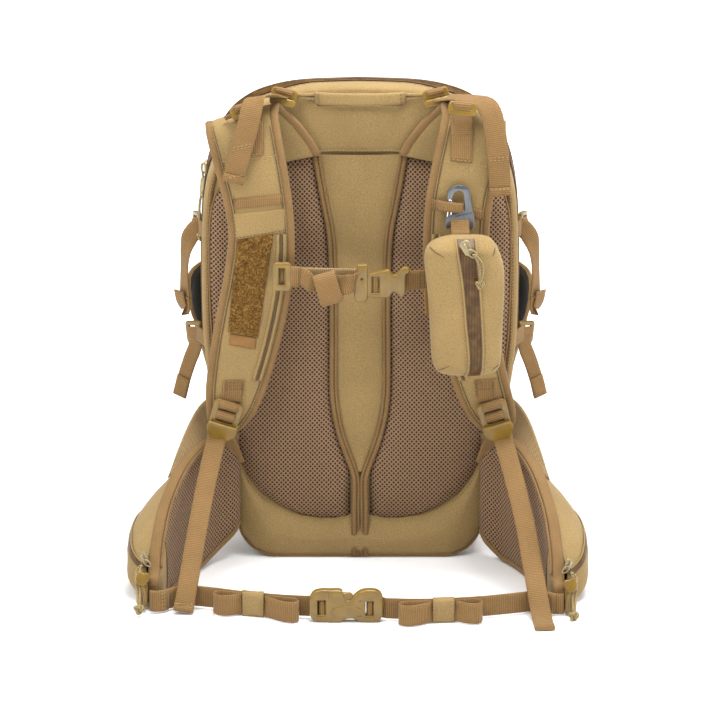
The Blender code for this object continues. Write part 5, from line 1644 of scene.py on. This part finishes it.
def build_hip_pocket(side, sign):
    rings = pocket_rings()
    rows = []
    for ring in rings:
        row = []
        for k in range(33):
            a = math.pi * (k / 32 - 0.5)
            up = 0.5 + 0.5 * math.copysign(abs(math.sin(a)) ** 0.62, math.sin(a))
            across = abs(math.cos(a)) ** 0.62
            p = pocket_point(ring, across, up)
            row.append(turned(p + ring[1] * wrinkle((p.x * 1.2, p.y, p.z * 1.6 + 4), 0.030, 0.0012) * across,
                              sign))
        rows.append(row)
    for shrink in (0.80, 0.45):
        middle = sum(rows[-1], Vector()) / len(rows[-1]) if shrink == 0.80 else middle
        rows.append([middle + (p - middle) * shrink / (1.0 if shrink == 0.80 else 0.80)
                     + Vector((0, -0.0022 if shrink == 0.80 else -0.0010, 0)) for p in rows[-1]])
    verts, faces, uvs = grid(rows, caps=True)
    piece(f"hip_pocket_body_{side}", verts, faces, CANVAS, "root", uvs,
                    replaces=(f"hip_pocket_{side}",))

    band, ups = [], []
    for index, ring in enumerate(rings[4:]):
        t = index / (len(rings) - 5)
        band.append(turned(pocket_skin(ring, table([(0, 0.80), (0.5, 0.85), (1, 0.89)], t), 0.0008), sign))
        ups.append(Vector((sign * -0.35 * ring[1].x, -0.35 * ring[1].y, 1)))
    tip = rings[-1]
    for across, up in ((0.62, 0.86), (0.36, 0.84), (0.10, 0.82)):
        band.append(turned(pocket_point(tip, across, up) + tip[5] * (0.0040 + 0.0010 * (1 - across)), sign))
        ups.append(Vector((0, 0.2, 1)))
    path = smooth(band, 2)
    sides = [ups[min(index // 2, len(ups) - 1)] for index in range(len(path))]
    web(f"hip_pocket_zip_{side}", path, sides, 0.0066, "root", ZIP, 0.0016)
    # edges of the zip: the upper one canvas, the lower one painted shade under the zip
    for name, move in (("upper", 1), ("lower", -1)):
        line = [p + s.normalized() * (move * 0.0038) for p, s in zip(path, sides)]
        tube(f"hip_zip_edge_{name}_{side}", line, 0.0009, CANVAS if move > 0 else SHADE, "root", 6)

    slider = turned(Vector((0.2490, -0.3000, 0.0590)), sign)
    place = facing(slider, turn=sign * 0.50, yaw=sign * 0.35)
    zip_slider(f"hip_zip_slider_{side}", place, "root", None, 0.95, sign * -0.3)
    route = [(0.2520, -0.3050, 0.0520), (0.2560, -0.3090, 0.0450), (0.2550, -0.3240, 0.0290),
             (0.2535, -0.3370, 0.0095)]
    pull_cord(f"hip_pull_cord_{side}", [turned(Vector(p), sign) for p in route], f"hip_pull_{side}",
              f"hip_pull_{side}",
              0.0022, size=0.0052)


def build_stabiliser(side, sign):
    """Ribbed elastic sheet from the side of the pack to the wing."""
    top = smooth([(0.1640, -0.1150, 0.2050), (0.1860, -0.1300, 0.1960), (0.2010, -0.1520, 0.1780),
                  (0.2160, -0.1800, 0.1480),
                  (0.2265, -0.2000, 0.1240)], 5)
    foot = smooth([(0.1560, -0.1180, 0.1500), (0.1700, -0.1380, 0.1480), (0.1830, -0.1600, 0.1450),
                   (0.1960, -0.1780, 0.1400),
                   (0.2060, -0.1960, 0.1330)], 5)
    rows = []
    for a, b in zip(top, foot):
        rows.append([turned(a.lerp(b, k / 10) + Vector((0.0030 * math.sin(math.pi * k / 10), 0, 0)),
                            sign) for k in range(11)])
    verts, faces, uvs = grid(rows)
    made = piece(f"stabiliser_{side}", verts, faces, ELASTIC, "root", [(v, u) for u, v in uvs])
    wall = made.modifiers.new("wall", "SOLIDIFY")
    wall.thickness = 0.0022


BELT_PATH = {-1: [(0.2420, -0.3220), (0.2300, -0.3230), (0.2160, -0.3120), (0.2000, -0.3050),
                  (0.1700, -0.3120),
                  (0.1300, -0.3260), (0.0900, -0.3360), (0.0600, -0.3400), (0.0300, -0.3405)],
             1: [(0.2340, -0.3340), (0.2260, -0.3330), (0.2140, -0.3255), (0.2000, -0.3235),
                 (0.1700, -0.3330),
                 (0.1300, -0.3430), (0.0900, -0.3490), (0.0600, -0.3500), (0.0300, -0.3480)]}
BELT_Z = 0.0150


def belt_point(x, front=0.0, z=BELT_Z):
    """Point in front of the belt webbing at a place along X."""
    y = spread(BELT_PATH[-1 if x < 0 else 1][::-1], abs(x))
    return Vector((x, y - front, z))


# the right half of the buckle moves; the webbing beside it rides on no body, with its placement baked in
BELT_BODY = {"left": "root", "right": None}


def follow_buckle(made, side):
    if side == "right":
        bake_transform(made)


def build_belt(side, sign):
    up = Vector((0, 0, 1))
    path = smooth([(sign * x, y, BELT_Z) for x, y in BELT_PATH[sign]], 5)
    inner_end = [(sign * 0.0200, -0.3440, 0.0165)] if sign > 0 else [(sign * 0.0440, -0.3440, 0.0165)]
    if sign < 0:
        path = [p for p in path if abs(p.x) > 0.0560]
    made = web(f"belt_web_{side}", path + smooth([path[-1], *inner_end], 3)[1:], up, 0.0250, BELT_BODY[side],
               replaces=(f"belt_webbing_{side}",))
    follow_buckle(made, side)
    # doubled and stitched end beside the adjuster, and the roll round its rear bar
    joint = (0.2420, 0.2210) if sign < 0 else (0.2240, 0.1960)
    doubled = [belt_point(sign * lerp(*joint, k / 6), 0.0022) for k in range(7)]
    web(f"belt_doubled_{side}", doubled, up, 0.0256, "root", thick=0.0022)
    lines = []
    for share in (0.70, 0.82):
        x = sign * lerp(*joint, share)
        lines.append(([belt_point(x, 0.0040, z) for z in (0.0045, 0.0090, 0.0135, 0.0180, 0.0225, 0.0262)],
                      (0, -1, 0)))
    stitch_line(f"belt_stitches_{side}", lines, "root")
    centre = turned(Vector((0.2505, -0.3080, 0.0215)), sign)
    roll = smooth([(-0.0060, -0.0140, 0), (0.0030, -0.0110, 0), (0.0068, -0.0030, 0), (0.0050, 0.0050, 0),
                   (-0.0020, 0.0070, 0),
                   (-0.0080, 0.0040, 0)], 4)
    web(f"belt_roll_{side}", [centre + Vector((sign * p.x, p.y, 0)) for p in roll], up, 0.0285, "root")
    place = facing(centre, yaw=sign * 1.42)
    plate(f"adjuster_frame_{side}", ladder_loops(0.0250, 0.0360, 0.0036, (0.0,), 0.0040), 0.0042, 0.0013,
          PLASTIC, "root", place,
          replaces=(f"belt_adjuster_{side}",))
    lever = [(p.x, p.y) for p in smooth([(-0.0058, 0.0030, 0), (-0.0040, 0.0072, 0), (0.0000, 0.0060, 0),
                                         (0.0046, 0.0078, 0),
                                         (0.0062, 0.0020, 0), (0.0030, -0.0050, 0), (-0.0036, -0.0048, 0)],
                                        3, closed=True)]
    front = centre + Vector((sign * 0.0002, -0.0135, 0.0185))
    plate(f"adjuster_lever_{side}", [lever], 0.0044, 0.0016, PLASTIC, "root",
          facing(front, turn=sign * -0.25, lean=-0.35))
    stem = [front + Vector((sign * x, y, z)) for x, y,
            z in ((0.0, 0.0010, -0.0020), (-0.0018, -0.0014, -0.0110),
                                                           (-0.0036, -0.0010, -0.0230),
                  (-0.0020, 0.0020, -0.0345))]
    tube(f"adjuster_stem_{side}", smooth(stem, 4), 0.0028, PLASTIC, "root", 10, 0.75)


def bow_loop(name, keeper, end, height, body="root"):
    """Slack webbing folded into a loop that stands out in front of the belt."""
    way = 1 if end > keeper else -1
    reach = abs(end - keeper)
    outline = [(0.0, 0.0022), (0.45, 0.0030), (0.85, 0.0044), (1.0, 0.0110), (0.94, 0.0176), (0.72, 0.0200),
               (0.42, 0.0158),
               (0.16, 0.0090), (0.0, 0.0056)]
    path = smooth([belt_point(keeper + way * reach * share, front, height) for share, front in outline], 4)
    return web(name, path, Vector((0, 0.10, 1)), 0.0246, body)


def build_bows():
    for side, outer, keeper_out, keeper_in, inner in (("left", -0.1680, -0.1355, -0.1100, -0.0710),
                                                      ("right", 0.1390, 0.1080, 0.0830, 0.0450)):
        bow_loop(f"bow_outer_{side}", keeper_out, outer, 0.0138)
        follow_buckle(bow_loop(f"bow_inner_{side}", keeper_in, inner, 0.0134, BELT_BODY[side]), side)
        centre = belt_point((keeper_out + keeper_in) / 2, 0.0035, 0.0145)
        ring_web(f"bow_keeper_{side}", centre, (0, 0, 1), (0, 1, 0), 0.0142, 0.0056,
                 belt_point(keeper_in) - belt_point(keeper_out), abs(keeper_in - keeper_out), "root", CANVAS,
                 0.0014)
        edge = []
        for x in (keeper_out, keeper_in):
            move = 0.0022 if x < centre.x else -0.0022
            edge.append(([belt_point(x + move, 0.0100, z) for z in (0.0030, 0.0085, 0.0140, 0.0195, 0.0255)],
                         (0, -1, 0)))
        stitch_line(f"bow_keeper_stitches_{side}", edge, "root")


def build_belt_buckle():
    y = -0.3500
    frame_loop = [(p.x, p.y) for p in smooth([(-0.0354, 0.0364, 0), (-0.0430, 0.0366, 0),
                                              (-0.0505, 0.0350, 0), (-0.0550, 0.0290, 0),
                                              (-0.0556, 0.0190, 0), (-0.0550, 0.0090, 0),
                                              (-0.0505, 0.0032, 0),
                                              (-0.0430, 0.0016, 0), (-0.0354, 0.0016, 0)], 3)]
    upright_plate("buckle_frame", [frame_loop, rounded(0.0142, 0.0222, 0.0014, 3, (-0.0440, 0.0176))],
                  0.0110, 0.0026, y, "root",
                  replaces=("belt_male",))
    for name, flip in (("upper", 1), ("lower", -1)):
        prong = [(-0.0362, 0.0150), (-0.0230, 0.0142), (-0.0110, 0.0138), (-0.0086, 0.0110),
                 (-0.0100, 0.0066), (-0.0180, 0.0060),
                 (-0.0362, 0.0085)]
        upright_plate(f"buckle_prong_{name}", [[(x, 0.0190 + flip * z) for x, z in prong]], 0.0066, 0.0016,
                      y, "root")
    body_loop = [(-0.0350, 0.0364), (-0.0240, 0.0364), (-0.0220, 0.0345), (-0.0196, 0.0272),
                 (-0.0142, 0.0240), (-0.0084, 0.0258),
                 (-0.0040, 0.0312), (0.0030, 0.0358), (0.0120, 0.0366), (0.0190, 0.0355), (0.0232, 0.0305),
                 (0.0240, 0.0190),
                 (0.0232, 0.0078), (0.0190, 0.0026), (0.0120, 0.0014), (0.0030, 0.0020), (-0.0045, 0.0056),
                 (-0.0100, 0.0068),
                 (-0.0180, 0.0056), (-0.0228, 0.0020), (-0.0250, 0.0014), (-0.0350, 0.0014)]
    window = rounded(0.0138, 0.0218, 0.0014, 3, (0.0108, 0.0166))
    slits = [[(-0.0070, 0.0250), (0.0020, 0.0292), (0.0020, 0.0246)],
             [(-0.0070, 0.0092), (0.0020, 0.0100), (0.0020, 0.0052)]]
    rounded_body = [(p.x, p.y) for p in smooth([(x, z, 0) for x, z in body_loop], 2)]
    upright_plate("buckle_housing", [rounded_body, window, *slits], 0.0116, 0.0026, y, "belt_female",
                  replaces=("belt_female",))
    oval = [(-0.0150 + 0.0170 * math.cos(a),
             0.0135 + 0.0066 * math.sin(a)) for a in (2 * math.pi * k / 36 for k in range(36))]
    upright_plate("buckle_oval", [oval], 0.0020, 0.0007, y - 0.0058, "belt_female")
    for name, x, body in (("left", -0.0430, "root"), ("right", 0.0114, "belt_female")):
        wrap = smooth([(x - 0.0034, y + 0.0060, 0.0150), (x - 0.0030, y - 0.0005, 0.0150),
                       (x, y - 0.0026, 0.0150),
                       (x + 0.0030, y - 0.0005, 0.0150), (x + 0.0034, y + 0.0060, 0.0150)], 4)
        web(f"buckle_wrap_{name}", wrap, Vector((0, 0, 1)), 0.0215, body)


# ---------------------------------------------------------------- sides and front of the bag
def wall_x(z):
    return spread([(height, half) for half, height in PROFILE[:12]], z)


def build_side_pocket(side, sign):
    """Stretch pocket, sewn down along its foot and gaping at the mouth."""
    columns = [(-0.0340, 0.34), (-0.0290, 0.62), (-0.0200, 0.80), (-0.0080, 0.93), (0.0080, 1.0),
               (0.0250, 1.0), (0.0420, 0.92),
               (0.0580, 0.70), (0.0700, 0.40), (0.0760, 0.06)]
    rows = []
    mouth_line = [(-0.034, 0.2660), (-0.020, 0.2760), (0.0, 0.2960), (0.030, 0.3110), (0.076, 0.3180)]
    for k in range(23):
        row = []
        for y, share in columns:
            z = lerp(0.050, table(mouth_line, y), k / 22)
            bulge = table([(0.050, 0.0010), (0.150, 0.0030), (0.220, 0.0080), (0.265, 0.0165),
                           (0.318, 0.0205)], z)
            open_part = min(max((z - 0.205) / 0.035, 0.0), 1.0)
            near = share if y > -0.021 else lerp(0.10, share, open_part)
            taper = 0.0 if y < 0.02 else (y - 0.02) * 0.10
            point = Vector((sign * (wall_x(z) + 0.0018 + bulge * near - taper), y, z))
            row.append(point + Vector((sign, 0, 0)) * wrinkle(point * 1.0, 0.045, 0.0016 * near))
        rows.append(row)
    verts, faces, uvs = grid(rows)
    lined(piece(f"side_pocket_fabric_{side}", verts, faces, CANVAS, "bag_front", uvs,
                replaces=(f"side_pocket_{side}",)),
          0.0018)
    mouth = [rows[-1][c] + Vector((sign * 0.0008, 0, 0.0005)) for c in range(len(columns))]
    tube(f"side_pocket_hem_{side}", smooth(mouth, 3), 0.0020, BINDING, "bag_front", 8)
    near_edge = [row[0] for row in rows]
    tube(f"side_pocket_edge_{side}", smooth(near_edge, 2), 0.0013, BINDING, "bag_front", 8)


def build_compression(side, sign):
    for level, centre, yaw in (("upper", (0.1950, -0.0480, 0.3960), 1.25),
                               ("lower", (0.1995, -0.0560, 0.2620), 0.70)):
        place = facing(Vector((sign * centre[0], centre[1], centre[2])), yaw=sign * yaw, turn=sign * 0.15)
        plate(f"{level}_triglide_{side}", ladder_loops(0.0235, 0.0250, 0.0030, (0.0,), 0.0034), 0.0046,
              0.0013, PLASTIC, "root", place,
              replaces=(f"{level}_buckle_{side}",))
        direction = (place.to_3x3() @ Vector((1, 0, 0))).normalized()
        wrap = [place @ Vector((0, 0.0070 * math.sin(a), 0.0030 + 0.0014 * math.cos(2 * a)))
                for a in (math.radians(-80 + 160 * k / 12) for k in range(13))]
        web(f"{level}_triglide_web_{side}", wrap, direction, 0.0170, "root", thick=0.0014)
        # webbing from the seam of the gusset to the buckle
        seam = [Vector((sign * (wall_x(centre[2]) - 0.004), -0.0900, centre[2] - 0.001)),
                Vector((sign * (wall_x(centre[2]) + 0.003), -0.0780, centre[2])),
                Vector((sign * (centre[0] - 0.003), -0.0640, centre[2] + 0.001))]
        web(f"{level}_anchor_{side}", smooth(seam, 3), Vector((0, 0, 1)), 0.0200, "root", thick=0.0016)
    upper = smooth([(0.1850, -0.0600, 0.3970), (0.1950, -0.0600, 0.3920), (0.2040, -0.0580, 0.3800),
                    (0.2090, -0.0550, 0.3640),
                    (0.2110, -0.0520, 0.3450), (0.2115, -0.0500, 0.3200), (0.2110, -0.0500, 0.3030)], 4)
    turns = smooth([(0.10, 0.0, 1.0), (0.35, 0.1, 0.85), (0.65, 0.25, 0.60), (0.60, 0.75, 0.20),
                    (0.45, 0.90, 0.0), (0.50, 0.86, 0.0),
                    (0.62, 0.78, 0.0)], 4)
    web(f"upper_tail_{side}", [Vector((sign * p.x, p.y, p.z)) for p in upper],
        [Vector((sign * t.x, t.y, t.z)) for t in turns],
        0.0215, "root", replaces=(f"upper_strap_{side}",))
    flap = smooth([(0.2115, -0.0515, 0.3060), (0.2110, -0.0500, 0.2930), (0.2125, -0.0480, 0.2900),
                   (0.2160, -0.0490, 0.2980),
                   (0.2185, -0.0500, 0.3120)], 4)
    web(f"upper_tail_end_{side}", [Vector((sign * p.x, p.y, p.z)) for p in flap],
        Vector((sign * 0.62, 0.78, 0.10)), 0.0205, "root")
    lower = smooth([(0.1990, -0.0600, 0.2620), (0.1985, -0.0605, 0.2540), (0.2000, -0.0580, 0.2420),
                    (0.2060, -0.0530, 0.2260),
                    (0.2130, -0.0500, 0.2040), (0.2190, -0.0490, 0.1800)], 4)
    path = [Vector((sign * p.x, p.y, p.z)) for p in lower]
    across = Vector((sign * 0.80, 0.55, 0.22))
    web(f"lower_tail_{side}", path, across, 0.0195, "root", replaces=(f"lower_strap_{side}",))
    hem = [p + Vector((sign * 0.0006, -0.0018, 0)) for p in path[-5:]]
    web(f"lower_tail_hem_{side}", hem, across, 0.0200, "root", thick=0.0024)


def build_front_pocket():
    rows = []
    for depth, grow in ((0.0028, 0.985), (0.0060, 1.0), (0.0140, 1.0), (0.0210, 0.985), (0.0265, 0.95),
                        (0.0298, 0.88),
                        (0.0315, 0.74), (0.0322, 0.50), (0.0326, 0.25)):
        row = []
        for c in range(72):
            a = 2 * math.pi * c / 72
            x = 0.122 * grow * math.copysign(abs(math.cos(a)) ** 0.38, math.cos(a))
            z = 0.265 + 0.172 * grow * math.copysign(abs(math.sin(a)) ** 0.38, math.sin(a))
            row.append(Vector((x, FRONT_Y + depth + wrinkle((x, z, 31), 0.06,
                    0.0016 * min(1.0, depth / 0.02)), z)))
        rows.append(row)
    verts, faces, uvs = grid(rows, wrap=True, caps=True)
    made = piece("front_pocket_body", verts, faces, CANVAS, "bag_front", uvs, replaces=("front_pocket",))
    seam = [Vector((p.x * 1.004, FRONT_Y + 0.0036, 0.265 + (p.z - 0.265) * 1.004)) for p in rows[1]]
    tube("front_pocket_seam", seam, 0.0016, BINDING, "bag_front", 8, closed=True)
    arch = [Vector((p.x * 0.94, FRONT_Y + 0.0295,
                    0.265 + (p.z - 0.265) * 0.94)) for p in rows[2] if p.z > 0.330]
    web("front_pocket_zip", arch, Vector((0, 1, 0)), 0.0080, "bag_front", ZIP, 0.0016)
    stitch_line("front_pocket_stitches", [([Vector((p.x * 0.965, FRONT_Y + 0.0262,
                                                    0.265 + (p.z - 0.265) * 0.965)) for p in rows[2]],
                                           (0, 1, 0))], "bag_front")
    for index, z in enumerate((0.190, 0.230)):
        strip = [Vector((x, FRONT_Y + 0.0336 - 0.0020 * abs(x / 0.1) ** 6 + wrinkle((x, z, 31), 0.06,
                0.0010), z))
                 for x in (lerp(-0.100, 0.100, k / 16) for k in range(17))]
        web(f"front_webbing_{index}", strip, Vector((0, 0, 1)), 0.0250, "bag_front")


def build_main_zip():
    place = Matrix.Translation((-0.1828, -0.0700, 0.4680)) @ Matrix.Rotation(-math.pi / 2, 4,
            "Y") @ Matrix.Rotation(-math.pi / 2, 4, "Z")
    zip_slider("main_zip_slider", place, "main_slider", "main_slider", 1.15)
    tab = facing((-0.1862, -0.0740, 0.4455), turn=0.10, yaw=-0.5)
    plate("main_pull_tab", [rounded(0.0058, 0.0215, 0.0022),
                            rounded(0.0022, 0.0060, 0.0008, 2, (0, -0.0060))], 0.0036, 0.0011,
          SLIDER, "main_pull", tab)
    pull_cord("main_pull_cord", [(-0.1868, -0.0740, 0.4385), (-0.1880, -0.0745, 0.4260),
                                 (-0.1885, -0.0745, 0.4060),
                                 (-0.1895, -0.0745, 0.3850)], "main_pull", "main_pull", 0.0036, 0.0016,
              Vector((0.8, -0.6, 0)))


build_sternum()
build_carabiner()
build_pouch()
for side_name, side_sign in SIDES:
    build_wing(side_name, side_sign)
    build_hip_pocket(side_name, side_sign)
    build_stabiliser(side_name, side_sign)
    build_belt(side_name, side_sign)
    build_side_pocket(side_name, side_sign)
    build_compression(side_name, side_sign)
build_bows()
build_belt_buckle()
build_front_pocket()
build_main_zip()
for node, mat in (("frame_sheet", BOARD), ("frame_rod", ROD)):
    bpy.data.objects[node].data.materials.clear()
    bpy.data.objects[node].data.materials.append(mat)
